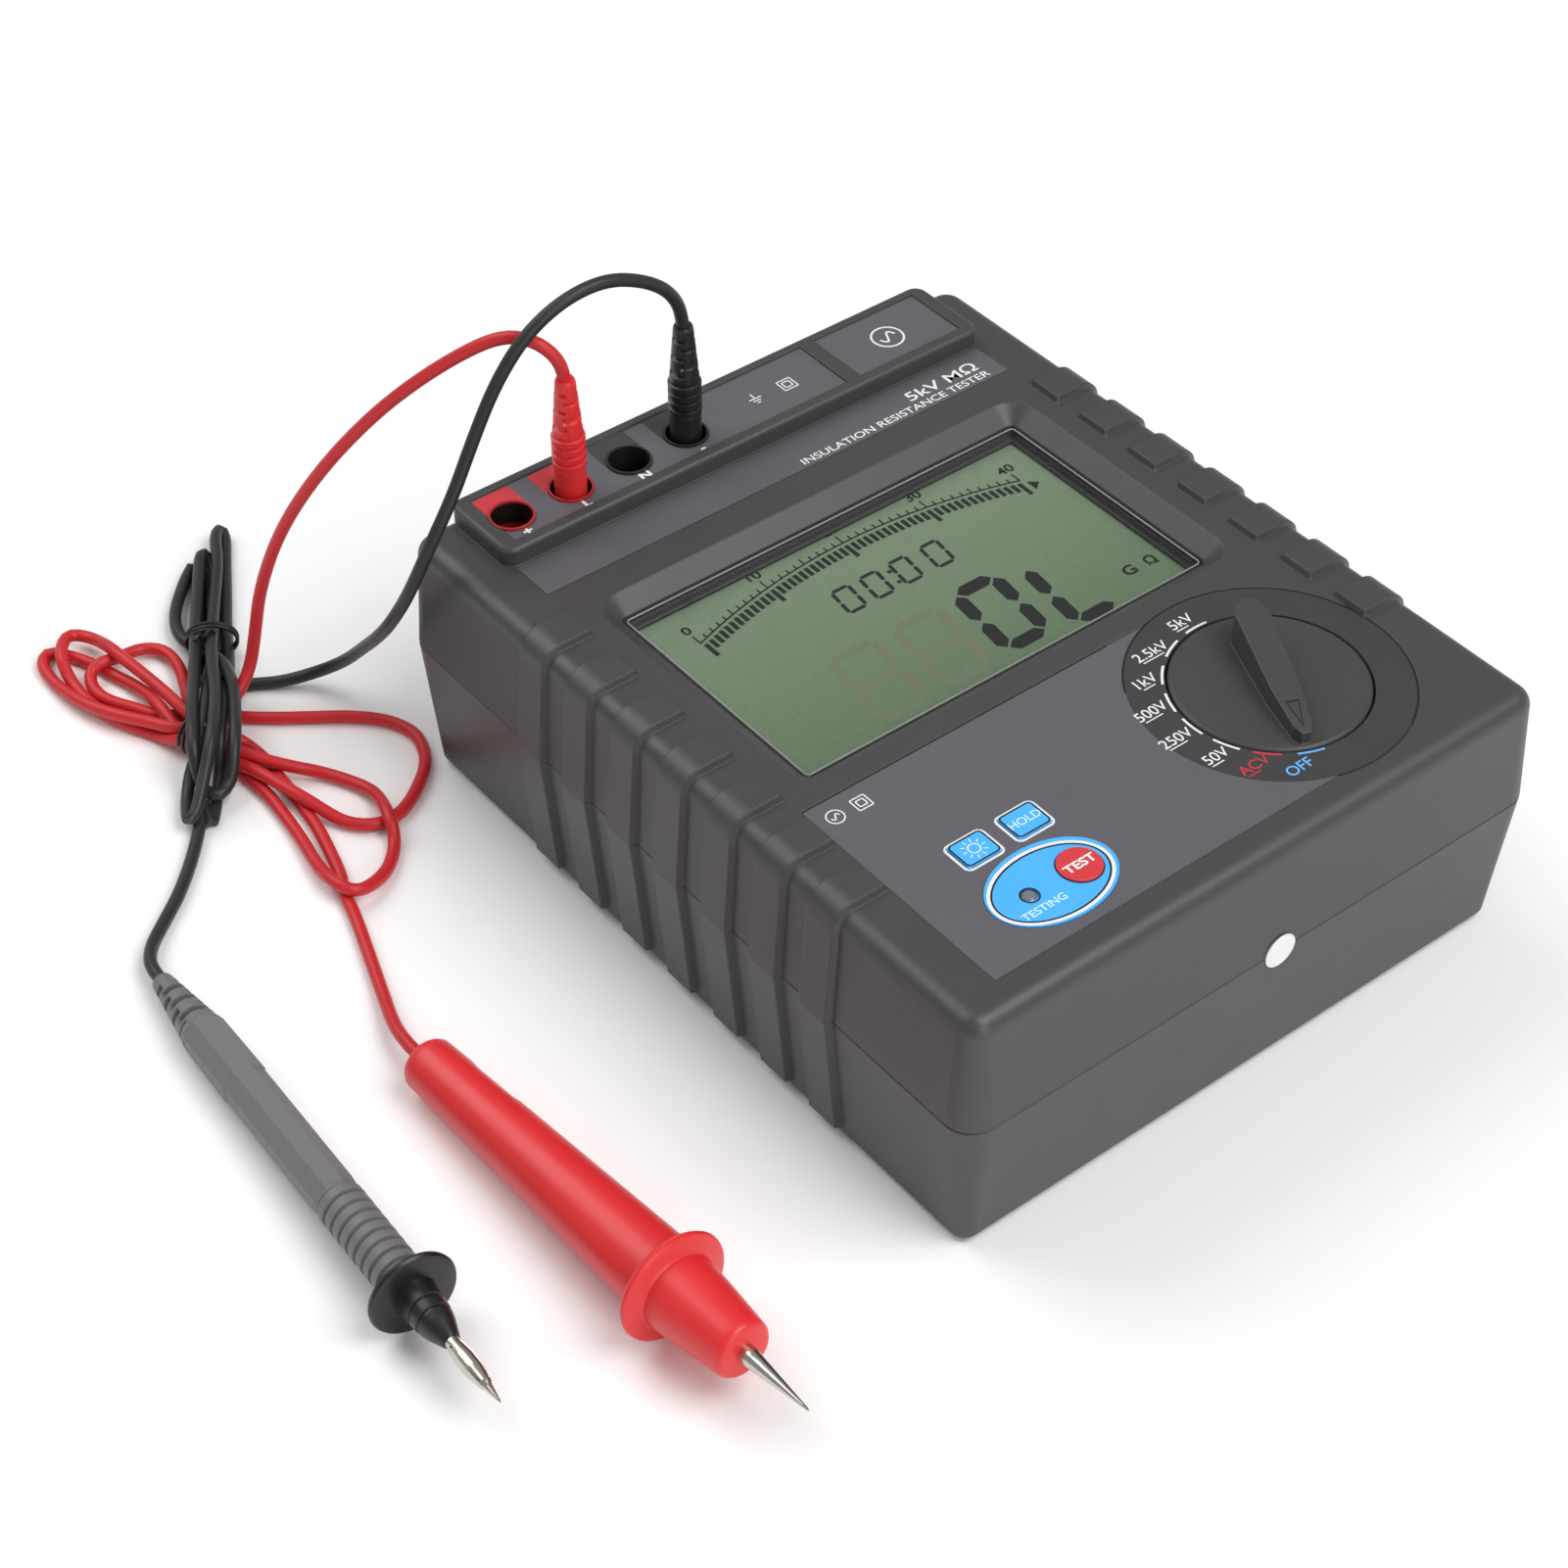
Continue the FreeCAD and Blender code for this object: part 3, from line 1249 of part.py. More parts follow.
def make_black_hank():
    """The folded black bundle: a narrow band that arches over the waist of the red one."""
    body = new_body("black_lead_hank")
    arch = new_sketch(body, "hank_arch", role="XZ_Plane", offset=-hank_width / 2)
    low = [(0.0, hank_lift), (40.0, hank_lift), (52.0, hank_bridge), (105.5, hank_bridge),
           (117.5, hank_lift), (hank_length, hank_lift)]
    high = [(x, z + hank_height) for x, z in reversed(low)]
    draw_outline(arch, [(zero() + x, z) for x, z in low + high])
    pad(body, arch, hank_width)
    dress(body, "Fillet", hank_width / 2 - 0.2, upright_edges)
    place(body, zero() - 92.0, zero() + 228.0, zero(), FreeCAD.Rotation(Vector(0, 0, 1), -121.9))


def upright_edges(edge):
    """A test for the short upright edges at the ends of the black hank."""
    box_of = edge.BoundBox
    return box_of.XLength < 1e-6 and box_of.YLength < 1e-6 and box_of.ZLength > 1.0 and (
        box_of.XMin < 1e-3 or box_of.XMin > number(hank_length) - 1e-3)


def make_tie(node, x, y, angle, width, bottom, height):
    """A closed band with a twisted end round a bundle; its opening clears the bundle."""
    gap = film_gap
    half = width / 2 + gap
    body = new_body(node)
    frame = new_sketch(body, node + "_band", role="YZ_Plane", offset=-tie_width / 2)
    low = bottom - gap
    draw_rectangle(frame, -half - tie_band, half + tie_band, low - tie_band, bottom + height + gap + tie_band)
    draw_rectangle(frame, -half, half, low, bottom + height + gap)
    pad(body, frame, tie_width)
    knot = new_sketch(body, node + "_knot", offset=bottom + height + gap)
    draw_rectangle(knot, -tie_width / 2, tie_width / 2, half - 0.5, half + tie_band + 6.0)
    pad(body, knot, tie_band * 2.0)
    place(body, zero() + x, zero() + y, zero(), FreeCAD.Rotation(Vector(0, 0, 1), angle))


# ------------------------------------------------------------------ probes
def lay_down(direction):
    """The turn that carries the Z axis of a turned piece onto a direction."""
    return FreeCAD.Rotation(Vector(0, 0, 1), direction)


def make_red_probe():
    """A stout tapered handle with a finger guard, a short nose and a steel needle."""
    rotation = lay_down(Vector(0.021, -0.9969, 0.0755))
    rear = (-161.0, 13.5, 7.5)
    bore = red_nose_at - 12.0
    turned("red_probe_handle", [
        (zero(), zero()),
        (red_rear - 2.0, zero()),
        (red_rear, zero() + 2.2),
        (red_front, red_guard_at - 1.8),
        (red_guard - 0.8, red_guard_at - 1.8),
        (red_guard, red_guard_at - 0.8),
        (red_guard, red_guard_at + 0.6),
        (red_guard - 0.8, red_guard_at + 1.4),
        (red_front - 0.2, red_guard_at + 2.4),
        (red_nose, red_nose_at - 2.0),
        (red_nose - 1.6, red_nose_at),
        (needle_radius, red_nose_at),
        (needle_radius, bore),
        (zero(), bore),
    ], rotation, rear)
    turned("red_probe_needle", [
        (zero(), bore),
        (needle_radius, bore),
        (needle_radius, red_nose_at + 0.5),
        (zero() + 0.3, red_tip_at - 0.3),
        (zero(), red_tip_at),
    ], rotation, rear)


def make_grey_probe():
    """A slim ribbed handle, a black guard and nose, and a sprung steel tip."""
    rotation = lay_down(Vector(-0.0635, -0.9966, 0.0519))
    rear = (-197.5, 80.0, 5.0)
    joint = grey_guard_at - 0.9
    profile = [
        (zero(), zero()),
        (zero() + 2.7, zero()),
        (grey_body - 0.7, grey_boot),
        (grey_body + 0.2, grey_boot + 12.0),
        (grey_body + 0.2, grey_boot + 23.4),
        (grey_body, grey_boot + 24.0),
        (grey_body, grey_boot + 71.0),
    ]
    for ring in range(6):
        start = grey_boot + 72.0 + 5.6 * ring
        profile += [(grey_body + 0.3, start), (grey_body + 0.3, start + 4.4),
                    (grey_body - 0.3, start + 4.8), (grey_body - 0.3, start + 5.2)]
    profile += [(grey_body - 0.3, joint), (zero(), joint)]
    turned("grey_probe_handle", profile, rotation, rear)
    socket = grey_nose_at - 8.0
    turned("black_probe_nose", [
        (zero(), joint),
        (grey_guard - 0.5, joint),
        (grey_guard, joint + 0.6),
        (grey_guard - 0.4, joint + 1.6),
        (zero() + 5.2, joint + 2.2),
        (zero() + 5.2, joint + 8.0),
        (zero() + 4.6, joint + 9.0),
        (lantern_radius + 0.8, grey_nose_at),
        (lantern_radius, grey_nose_at),
        (lantern_radius, socket),
        (zero(), socket),
    ], rotation, rear)
    turned("probe_lantern_tip", [
        (zero(), socket),
        (lantern_radius, socket),
        (lantern_radius, grey_nose_at + 1.0),
        (lantern_radius + 0.5, grey_nose_at + 6.0),
        (lantern_radius + 0.5, grey_nose_at + 10.0),
        (lantern_radius - 0.3, grey_tip_at - 6.0),
        (zero() + 0.2, grey_tip_at - 0.3),
        (zero(), grey_tip_at),
    ], rotation, rear)


# ------------------------------------------------------------------ everything
def check_document():
    """Stop if any object failed, or any sub-part has no valid solid."""
    doc.recompute()
    for item in doc.Objects:
        if "Invalid" in item.State or "Error" in item.State:
            raise RuntimeError("%s failed: %s" % (item.Name, item.State))
    for item in PARTS:
        if item.Shape.isNull() or not item.Shape.isValid() or not item.Shape.Solids:
            raise RuntimeError(item.Label + " has no valid solid")


def write_parts():
    """Write each sub-part's solids to a file named after it."""
    os.makedirs("parts", exist_ok=True)
    for item in PARTS:
        item.Shape.exportStep("parts/%s.step" % item.Label)
        print("%-24s %2d solids %10.1f mm3" % (item.Label, len(item.Shape.Solids), item.Shape.Volume))


make_upper_case()
make_lower_case()
make_case_fittings()
make_display()
make_films()
make_knob()
make_switch()
make_keys()
make_jacks()
make_boards()
make_battery_bay()
make_plug("red", jack_first + jack_pitch)
make_plug("black", jack_first + jack_pitch * 3)
make_lead("red_lead_upper", RED_UPPER)
make_lead("red_lead_lower", RED_LOWER)
make_lead("black_lead_upper", BLACK_UPPER)
make_lead("black_lead_lower", BLACK_LOWER)
make_red_hank()
make_black_hank()
make_tie("red_lead_tie", -147.2, 163.0, 117.0, 10.6 + zero(), hank_lift, hank_height)
make_tie("black_lead_tie", -111.3, 197.0, -121.9, hank_width, hank_lift, hank_height)
make_red_probe()
make_grey_probe()
check_document()
write_parts()
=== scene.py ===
"""An insulation resistance tester with two test leads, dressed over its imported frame."""

import logging  # noqa: E402
import math  # noqa: E402
from collections.abc import Callable  # noqa: E402
from dataclasses import dataclass  # noqa: E402
from enum import Enum  # noqa: E402

import bpy  # noqa: E402
import numpy as np  # noqa: E402
from mathutils import Euler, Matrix, Vector  # noqa: E402


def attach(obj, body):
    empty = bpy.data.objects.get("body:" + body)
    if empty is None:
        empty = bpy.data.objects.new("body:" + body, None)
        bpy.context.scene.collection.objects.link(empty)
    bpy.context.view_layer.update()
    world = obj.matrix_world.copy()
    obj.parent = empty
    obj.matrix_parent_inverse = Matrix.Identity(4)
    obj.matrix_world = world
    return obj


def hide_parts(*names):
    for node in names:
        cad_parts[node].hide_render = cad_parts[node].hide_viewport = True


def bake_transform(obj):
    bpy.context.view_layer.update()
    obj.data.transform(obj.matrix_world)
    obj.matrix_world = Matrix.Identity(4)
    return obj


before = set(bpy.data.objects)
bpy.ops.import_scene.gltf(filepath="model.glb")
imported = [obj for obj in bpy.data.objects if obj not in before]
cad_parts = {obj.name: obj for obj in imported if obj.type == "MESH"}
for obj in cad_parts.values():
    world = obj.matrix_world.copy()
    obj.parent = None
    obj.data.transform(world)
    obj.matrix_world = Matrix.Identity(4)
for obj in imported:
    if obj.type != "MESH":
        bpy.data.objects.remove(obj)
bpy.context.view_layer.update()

LOG = logging.getLogger("insulation_tester")
MM = 0.001
ROOT = "instrument"


class Axis(Enum):
    """Directions that a turned piece can be laid along, as unit vectors of the row frame."""

    UP = (0.0, 0.0, 1.0)
    RED_PROBE = (0.021, -0.9969, 0.0755)
    GREY_PROBE = (-0.0635, -0.9966, 0.0519)


class Align(Enum):
    """Which part of a line of lettering its place refers to."""

    MIDDLE = "CENTER"
    RIGHT = "RIGHT"


# ---------------------------------------------------------------- finishes
def linear(hex_colour: str) -> tuple[float, float, float, float]:
    """Turn an sRGB hex colour to linear values.

    Args:
        hex_colour: six hex digits, two each for red, green and blue.

    Returns:
        Red, green, blue and alpha: c / 12.92 below 0.04045, else ((c + 0.055) / 1.055) to the power 2.4.
    """
    parts = np.array([int(hex_colour[i:i + 2], 16) for i in (0, 2, 4)]) / 255.0
    values = np.where(parts <= 0.04045, parts / 12.92, ((parts + 0.055) / 1.055) ** 2.4)
    return (*(float(value) for value in values), 1.0)


def add_node(tree: bpy.types.NodeTree, kind: str, settings: dict | None = None,
             links: dict | None = None) -> bpy.types.Node:
    """Add one shader node with its settings and its inputs.

    Args:
        tree: the material's node tree.
        kind: the node's type name without its ShaderNode prefix.
        settings: properties of the node itself.
        links: per input name or number, either a constant or a (node, output) pair.

    Returns:
        The new node.
    """
    made = tree.nodes.new("ShaderNode" + kind)
    for name, value in (settings or {}).items():
        setattr(made, name, value)
    for name, value in (links or {}).items():
        if isinstance(value, tuple) and isinstance(value[0], bpy.types.Node):
            tree.links.new(value[0].outputs[value[1]], made.inputs[name])
        else:
            made.inputs[name].default_value = value
    return made


@dataclass(frozen=True)
class Finish:
    """A surface: its colour, gloss and the fine relief that its making leaves.

    The colour wanders by the mottle share over patches of mottle_mm, the gloss by the smudge share, and
    the relief is grain of grain_mm across and grain_depth_mm deep. Sharp edges catch light as if their
    radius were edge_mm.
    """

    name: str
    colour: str
    roughness: float = 0.5
    ior: float = 1.5
    metallic: float = 0.0
    mottle: float = 0.05
    mottle_mm: float = 14.0
    smudge: float = 0.06
    grain_mm: float = 0.9
    grain_depth_mm: float = 0.02
    specular: float = 0.5
    coat: float = 0.0
    edge_mm: float = 0.0

    def material(self) -> bpy.types.Material:
        """The Blender material of this finish, made once."""
        known = bpy.data.materials.get(self.name)
        if known is not None:
            return known
        made = bpy.data.materials.new(self.name)
        made.use_nodes = True
        tree = made.node_tree
        shader = tree.nodes["Principled BSDF"]
        shader.inputs["Metallic"].default_value = self.metallic
        shader.inputs["IOR"].default_value = self.ior
        shader.inputs["Specular IOR Level"].default_value = self.specular
        shader.inputs["Coat Weight"].default_value = self.coat
        shader.inputs["Coat Roughness"].default_value = 0.12
        place = add_node(tree, "TexCoord")
        self.paint(tree, shader, place)
        return made

    def paint(self, tree: bpy.types.NodeTree, shader: bpy.types.Node, place: bpy.types.Node) -> None:
        """Drive colour, gloss and relief from noise on Object coordinates."""
        patches = add_node(tree, "TexNoise", links={
            "Vector": (place, "Object"), "Scale": 1.0 / (self.mottle_mm * MM), "Detail": 3.0})
        self.tint(tree, shader, place, patches)
        gloss = add_node(tree, "MapRange", links={
            "Value": (patches, "Fac"), "To Min": self.roughness - self.smudge,
            "To Max": self.roughness + self.smudge})
        tree.links.new(gloss.outputs["Result"], shader.inputs["Roughness"])
        self.relief(tree, shader, place)

    def tint(self, tree: bpy.types.NodeTree, shader: bpy.types.Node, place: bpy.types.Node,
             patches: bpy.types.Node) -> None:
        """Give the shader the wandering colour."""
        tree.links.new(self.shades(tree, patches).outputs[2], shader.inputs["Base Color"])

    def shades(self, tree: bpy.types.NodeTree, patches: bpy.types.Node) -> bpy.types.Node:
        """Mix a darker and a lighter shade of the colour by the patches."""
        base = np.array(linear(self.colour)[:3])
        dark = (*(base * (1.0 - self.mottle)), 1.0)
        light = (*np.minimum(base * (1.0 + self.mottle), 1.0), 1.0)
        return add_node(tree, "Mix", {"data_type": "RGBA"}, {0: (patches, "Fac"), 6: dark, 7: light})

    def relief(self, tree: bpy.types.NodeTree, shader: bpy.types.Node, place: bpy.types.Node) -> None:
        """Raise the grain as a bump, over edges that shade as if rounded by edge_mm."""
        grain = add_node(tree, "TexNoise", links={
            "Vector": (place, "Object"), "Scale": 1.0 / (self.grain_mm * MM), "Detail": 2.0,
            "Roughness": 0.6})
        bump = add_node(tree, "Bump", links={
            "Height": (grain, "Fac"), "Strength": 1.0, "Distance": self.grain_depth_mm * MM})
        if self.edge_mm:
            edge = add_node(tree, "Bevel", {"samples": 6}, {"Radius": self.edge_mm * MM})
            tree.links.new(edge.outputs["Normal"], bump.inputs["Normal"])
        tree.links.new(bump.outputs["Normal"], shader.inputs["Normal"])

    def dress(self, *nodes: str) -> None:
        """Give this finish to CAD nodes, by name."""
        for name in nodes:
            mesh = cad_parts[name].data
            mesh.materials.clear()
            mesh.materials.append(self.material())


@dataclass(frozen=True)
class DisplayGlass(Finish):
    """Polarised display glass: greenish grey, greyer towards the far edge, with a faint sparkle."""

    far_colour: str = "7E9076"
    far_y_mm: float = 55.0
    near_y_mm: float = -21.0
    speckles_per_m: float = 1600.0

    def tint(self, tree: bpy.types.NodeTree, shader: bpy.types.Node, place: bpy.types.Node,
             patches: bpy.types.Node) -> None:
        """Blend the two greens along Y and speckle them with sub-millimetre noise."""
        axes = add_node(tree, "SeparateXYZ", links={0: (place, "Object")})
        along = add_node(tree, "MapRange", links={
            "Value": (axes, "Y"), "From Min": self.near_y_mm * MM, "From Max": self.far_y_mm * MM})
        blend = add_node(tree, "Mix", {"data_type": "RGBA"}, {
            0: (along, "Result"), 6: linear(self.colour), 7: linear(self.far_colour)})
        speckle = add_node(tree, "TexNoise", links={
            "Vector": (place, "Object"), "Scale": self.speckles_per_m, "Detail": 1.0})
        lift = add_node(tree, "MapRange", links={
            "Value": (speckle, "Fac"), "To Min": 0.84, "To Max": 1.16})
        mixed = add_node(tree, "Mix", {"data_type": "RGBA", "blend_type": "MULTIPLY"}, {
            0: 1.0, 6: (blend, 2), 7: (lift, "Result")})
        tree.links.new(mixed.outputs[2], shader.inputs["Base Color"])


@dataclass(frozen=True)
class SocketSleeve(Finish):
    """A coloured socket with a painted shade in its bore, a near-black band between two heights: its colour
    shows at the rim and again at the bottom.
    """

    bore_shade_colour: str = "121112"
    rim_mm: float = 82.9
    core_mm: float = 76.5

    def tint(self, tree: bpy.types.NodeTree, shader: bpy.types.Node, place: bpy.types.Node,
             patches: bpy.types.Node) -> None:
        """Paint the bore's shade, a near-black band, between the two heights."""
        axes = add_node(tree, "SeparateXYZ", links={0: (place, "Object")})
        under = add_node(tree, "Math", {"operation": "LESS_THAN"}, {0: (axes, "Z"), 1: self.rim_mm * MM})
        over = add_node(tree, "Math", {"operation": "GREATER_THAN"}, {0: (axes, "Z"), 1: self.core_mm * MM})
        inside = add_node(tree, "Math", {"operation": "MULTIPLY"}, {0: (under, "Value"), 1: (over, "Value")})
        mixed = add_node(tree, "Mix", {"data_type": "RGBA"}, {
            0: (inside, "Value"), 6: (self.shades(tree, patches), 2), 7: linear(self.bore_shade_colour)})
        tree.links.new(mixed.outputs[2], shader.inputs["Base Color"])


@dataclass(frozen=True)
class ClearSheet(Finish):
    """Polished clear acrylic: nearly invisible except for its reflections and its edges."""

    passing: float = 0.95

    def paint(self, tree: bpy.types.NodeTree, shader: bpy.types.Node, place: bpy.types.Node) -> None:
        """Add the sheet's reflections to the light that passes straight through."""
        Finish.paint(self, tree, shader, place)
        through = add_node(tree, "BsdfTransparent", links={"Color": (*[self.passing] * 3, 1.0)})
        both = add_node(tree, "AddShader", links={0: (shader, "BSDF"), 1: (through, "BSDF")})
        tree.links.new(both.outputs["Shader"], tree.nodes["Material Output"].inputs["Surface"])


def film(name: str, colour: str, roughness: float) -> Finish:
    """Printed polycarbonate film: an even matt face that still shows a soft sheen."""
    return Finish("polycarbonate_" + name, colour, roughness, 1.58, grain_mm=0.35, grain_depth_mm=0.006)


def key_film(name: str, colour: str, mottle: float) -> Finish:
    """Embossed polycarbonate key: smoother and shinier than the film round it."""
    return Finish("polycarbonate_" + name, colour, 0.42, 1.58, mottle=mottle, grain_mm=0.5,
                  grain_depth_mm=0.004)


def ink(name: str, colour: str, mottle: float = 0.04, roughness: float = 0.5) -> Finish:
    """Screen ink: a thin flat layer whose colour hardly changes over a letter."""
    return Finish("screen_ink_" + name, colour, roughness, mottle=mottle, mottle_mm=3.0, grain_depth_mm=0.004)


# ABS from a spark-eroded mould: broad soft highlights. The case and the knob have softened edges.
ABS = Finish("ABS_spark_textured", "3F3F40", 0.42, 1.53, grain_mm=0.5, grain_depth_mm=0.016,
             mottle=0.05, mottle_mm=22.0, edge_mm=0.8)
KNOB_ABS = Finish("ABS_fine_matt_knob", "3E3E3F", 0.4, 1.53, grain_mm=0.4, grain_depth_mm=0.01, edge_mm=0.7)
BLACK_ABS = Finish("ABS_black_moulding", "1C1C1D", 0.45, 1.53, grain_mm=0.5, grain_depth_mm=0.01)

PANEL_FILM = film("panel_film", "58575D", 0.5)
DIAL_FILM = film("dial_film", "343436", 0.48)
BAR_FILM = film("bar_film", "59585E", 0.48)
KEY_FILM = key_film("blue_key", "47B2FF", 0.02)
TEST_FILM = key_film("red_key", "D3333B", 0.03)

WHITE_INK = ink("white", "E8E8E8", 0.03)
PALE_INK = ink("pale_blue", "C9ECFF", 0.03)
# Black is both print and the painted shade of the grooves round the dial, along the panel and in the knob's
# pointer.
BLACK_INK_AND_GROOVE_SHADE = ink("black", "101114", 0.1)
DARK_INK = ink("charcoal", "3A3A3C", 0.06, 0.55)
RED_INK = ink("red", "C8323C")
BLUE_INK = ink("blue", "6BB4F5")

# Liquid crystal: near-black where driven, close to its glass where idle.
SEGMENT = Finish("liquid_crystal_segment", "0B1310", 0.35, mottle=0.1, mottle_mm=2.0, grain_depth_mm=0.002)
FAINT_SEGMENT = Finish("liquid_crystal_idle_segment", "747B65", 0.35, mottle=0.05, grain_depth_mm=0.002)
LCD_GLASS = DisplayGlass("polarised_display_glass", "647A5C", 0.32, 1.52, grain_mm=1.0, grain_depth_mm=0.0004)
LENS = ClearSheet("coated_acrylic_lens", "040504", 0.05, 1.49, smudge=0.02, specular=0.12,
                  grain_depth_mm=0.0005)
RIM_BLACK = Finish("black_gasket_rubber", "0D0D0E", 0.6, mottle=0.1, grain_depth_mm=0.01)
# A painted highlight: the glint along the lens's polished edge, drawn as a light grey line.
LENS_EDGE_HIGHLIGHT = Finish("polished_acrylic_edge_painted_highlight", "8F918C", 0.18, 1.49, mottle=0.2, mottle_mm=6.0,
                    grain_depth_mm=0.004)

# Moulded nylon: a dull waxy sheen inside the sockets.
# The red socket carries a painted shade, a near-black band, down its bore.
SOCKET_RED = SocketSleeve("nylon_red_socket_painted_bore_shade", "A81C24", 0.42, 1.53, mottle=0.05, grain_mm=0.5,
                          grain_depth_mm=0.008)
SOCKET_BLACK = Finish("nylon_black_socket", "1B1B1C", 0.42, 1.53, mottle=0.08, grain_mm=0.5,
                      grain_depth_mm=0.008)

# Soft mouldings of the leads: PVC shines along its ridges, TPE is dry and matt, silicone is silky.
RED_PVC = Finish("PVC_red_grip", "DF2A2E", 0.36, 1.53, mottle=0.04, mottle_mm=18.0, grain_mm=0.8,
                 grain_depth_mm=0.012)
BLACK_PVC = Finish("PVC_black_moulding", "18181A", 0.34, 1.53, mottle=0.08, grain_mm=0.7, grain_depth_mm=0.01)
GREY_TPE = Finish("TPE_grey_grip", "707072", 0.5, 1.5, mottle=0.05, mottle_mm=15.0, grain_mm=0.6,
                  grain_depth_mm=0.014)
RED_JACKET = Finish("silicone_red_jacket", "C8262C", 0.4, 1.43, mottle=0.06, mottle_mm=9.0, grain_mm=0.7,
                    grain_depth_mm=0.02)
BLACK_JACKET = Finish("silicone_black_jacket", "2A2A2C", 0.42, 1.43, mottle=0.1, mottle_mm=9.0, grain_mm=0.7,
                      grain_depth_mm=0.02)
TIE_WIRE = Finish("PVC_twist_tie", "161617", 0.4, 1.53, mottle=0.1, mottle_mm=3.0, grain_depth_mm=0.01)

# Plated metal: nickel is bright and warm, zinc is greyer and duller.
NICKEL = Finish("nickel_plated_brass", "C9C6BE", 0.2, metallic=1.0, mottle=0.05, mottle_mm=4.0, smudge=0.07,
                grain_mm=0.6, grain_depth_mm=0.004)
STEEL = Finish("zinc_plated_steel", "A9A9A6", 0.32, metallic=1.0, mottle=0.08, mottle_mm=4.0,
               grain_depth_mm=0.006)

RUBBER = Finish("moulded_nitrile_rubber", "1A1A1A", 0.75, 1.52, grain_mm=0.8, grain_depth_mm=0.03)
LABEL = Finish("coated_paper_sticker", "E9E9E7", 0.45, mottle=0.03, mottle_mm=3.0, grain_depth_mm=0.006)
LAMP = Finish("clear_epoxy_lamp", "6E757C", 0.2, 1.55, mottle=0.1, mottle_mm=2.0, grain_depth_mm=0.002,
              coat=0.5)
BOARD = Finish("glass_epoxy_board", "1E5B38", 0.35, 1.55, mottle=0.1, mottle_mm=5.0, grain_depth_mm=0.01)
GUIDE = Finish("diffusing_acrylic_guide", "D9DED6", 0.4, 1.49, grain_depth_mm=0.01)
WRAP = Finish("heat_shrink_cell_wrap", "3B3D45", 0.3, 1.5, mottle=0.1, grain_depth_mm=0.008)
FLOOR = Finish("matt_white_paper", "FDFDFD", 0.8, mottle=0.004, mottle_mm=300.0, grain_depth_mm=0.0)

CAD_FINISHES = {
    ABS: ("upper_case", "lower_case", "battery_cover"),
    KNOB_ABS: ("range_knob",),
    PANEL_FILM: ("control_panel_overlay", "title_strip"),
    BAR_FILM: ("jack_panel_label", "symbol_label"),
    DIAL_FILM: ("dial_plate",),
    KEY_FILM: ("light_button", "hold_button", "test_bezel", "hv_capacitors"),
    TEST_FILM: ("test_button",),
    LCD_GLASS: ("lcd_glass",),
    LENS: ("lcd_window",),
    SOCKET_RED: ("red_jack_sleeves",),
    SOCKET_BLACK: ("black_jack_sleeves",),
    NICKEL: ("jack_contacts", "red_plug_pin", "black_plug_pin", "knob_shaft", "board_spacers",
             "red_probe_needle", "probe_lantern_tip"),
    RED_PVC: ("red_plug_body", "red_probe_handle"),
    BLACK_PVC: ("black_plug_body", "black_probe_nose"),
    GREY_TPE: ("grey_probe_handle",),
    RED_JACKET: ("red_lead_upper", "red_lead_hank", "red_lead_lower"),
    BLACK_JACKET: ("black_lead_upper", "black_lead_hank", "black_lead_lower"),
    TIE_WIRE: ("red_lead_tie", "black_lead_tie"),
    STEEL: ("case_screws", "battery_cover_screws", "detent_spring", "battery_contacts"),
    RUBBER: ("rubber_feet", "lcd_connector_strips"),
    LABEL: ("round_sticker",),
    LAMP: ("testing_led",),
    BOARD: ("display_board", "main_board", "rotor_wiper"),
    GUIDE: ("lcd_backlight",),
    WRAP: ("batteries",),
    BLACK_ABS: ("lcd_frame", "rotary_switch_body", "key_switches", "hv_transformer", "processor_chips",
                "buzzer", "board_connector", "battery_holder"),
}


# ---------------------------------------------------------------- surfaces
def put_mesh(name: str, points: np.ndarray, faces: list, finish: Finish, body: str | None = ROOT,
             smooth: bool = True) -> bpy.types.Object:
    """Make a piece from points in millimetres, dress it and set it riding on a body.

    Args:
        name: the piece's name.
        points: (n, 3) array, in millimetres.
        faces: lists of point numbers, anticlockwise from outside.
        finish: what it is made of.
        body: the CAD body that it moves with, or None for a piece that rides on no body.
        smooth: whether its faces shade as one surface.

    Returns:
        The new object, at the origin.
    """
    mesh = bpy.data.meshes.new(name)
    mesh.from_pydata((np.asarray(points) * MM).tolist(), [], faces)
    mesh.materials.append(finish.material())
    mesh.polygons.foreach_set("use_smooth", np.full(len(mesh.polygons), smooth))
    mesh.validate()
    made = bpy.data.objects.new(name, mesh)
    bpy.context.scene.collection.objects.link(made)
    if smooth:
        mesh.set_sharp_from_angle(angle=math.radians(38.0))
    if body is not None:
        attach(made, body)
    return made


def grid_faces(rows: int, columns: int, wrap: bool) -> np.ndarray:
    """Quads of a grid of points, numbered row by row.

    Args:
        rows: how many rows of points.
        columns: how many points in a row.
        wrap: whether the last column joins the first.

    Returns:
        (n, 4) point numbers: corner (i, j), (i, j + 1), (i + 1, j + 1), (i + 1, j).
    """
    last = columns if wrap else columns - 1
    i, j = np.meshgrid(np.arange(rows - 1), np.arange(last), indexing="ij")
    after = (j + 1) % columns
    near, far = i * columns, (i + 1) * columns
    corners = np.stack([near + j, near + after, far + after, far + j], -1)
    return corners.reshape(-1, 4)


def capped_faces(rows: int, columns: int) -> list:
    """Quads of a closed tube of rings, with one many-sided face over each end."""
    faces = grid_faces(rows, columns, True).tolist()
    faces.append(list(range(columns))[::-1])
    faces.append(list(range((rows - 1) * columns, rows * columns)))
    return faces


def unit(vectors: np.ndarray) -> np.ndarray:
    """Scale vectors, along the last axis, to length one."""
    return vectors / np.maximum(np.linalg.norm(vectors, axis=-1, keepdims=True), 1e-12)


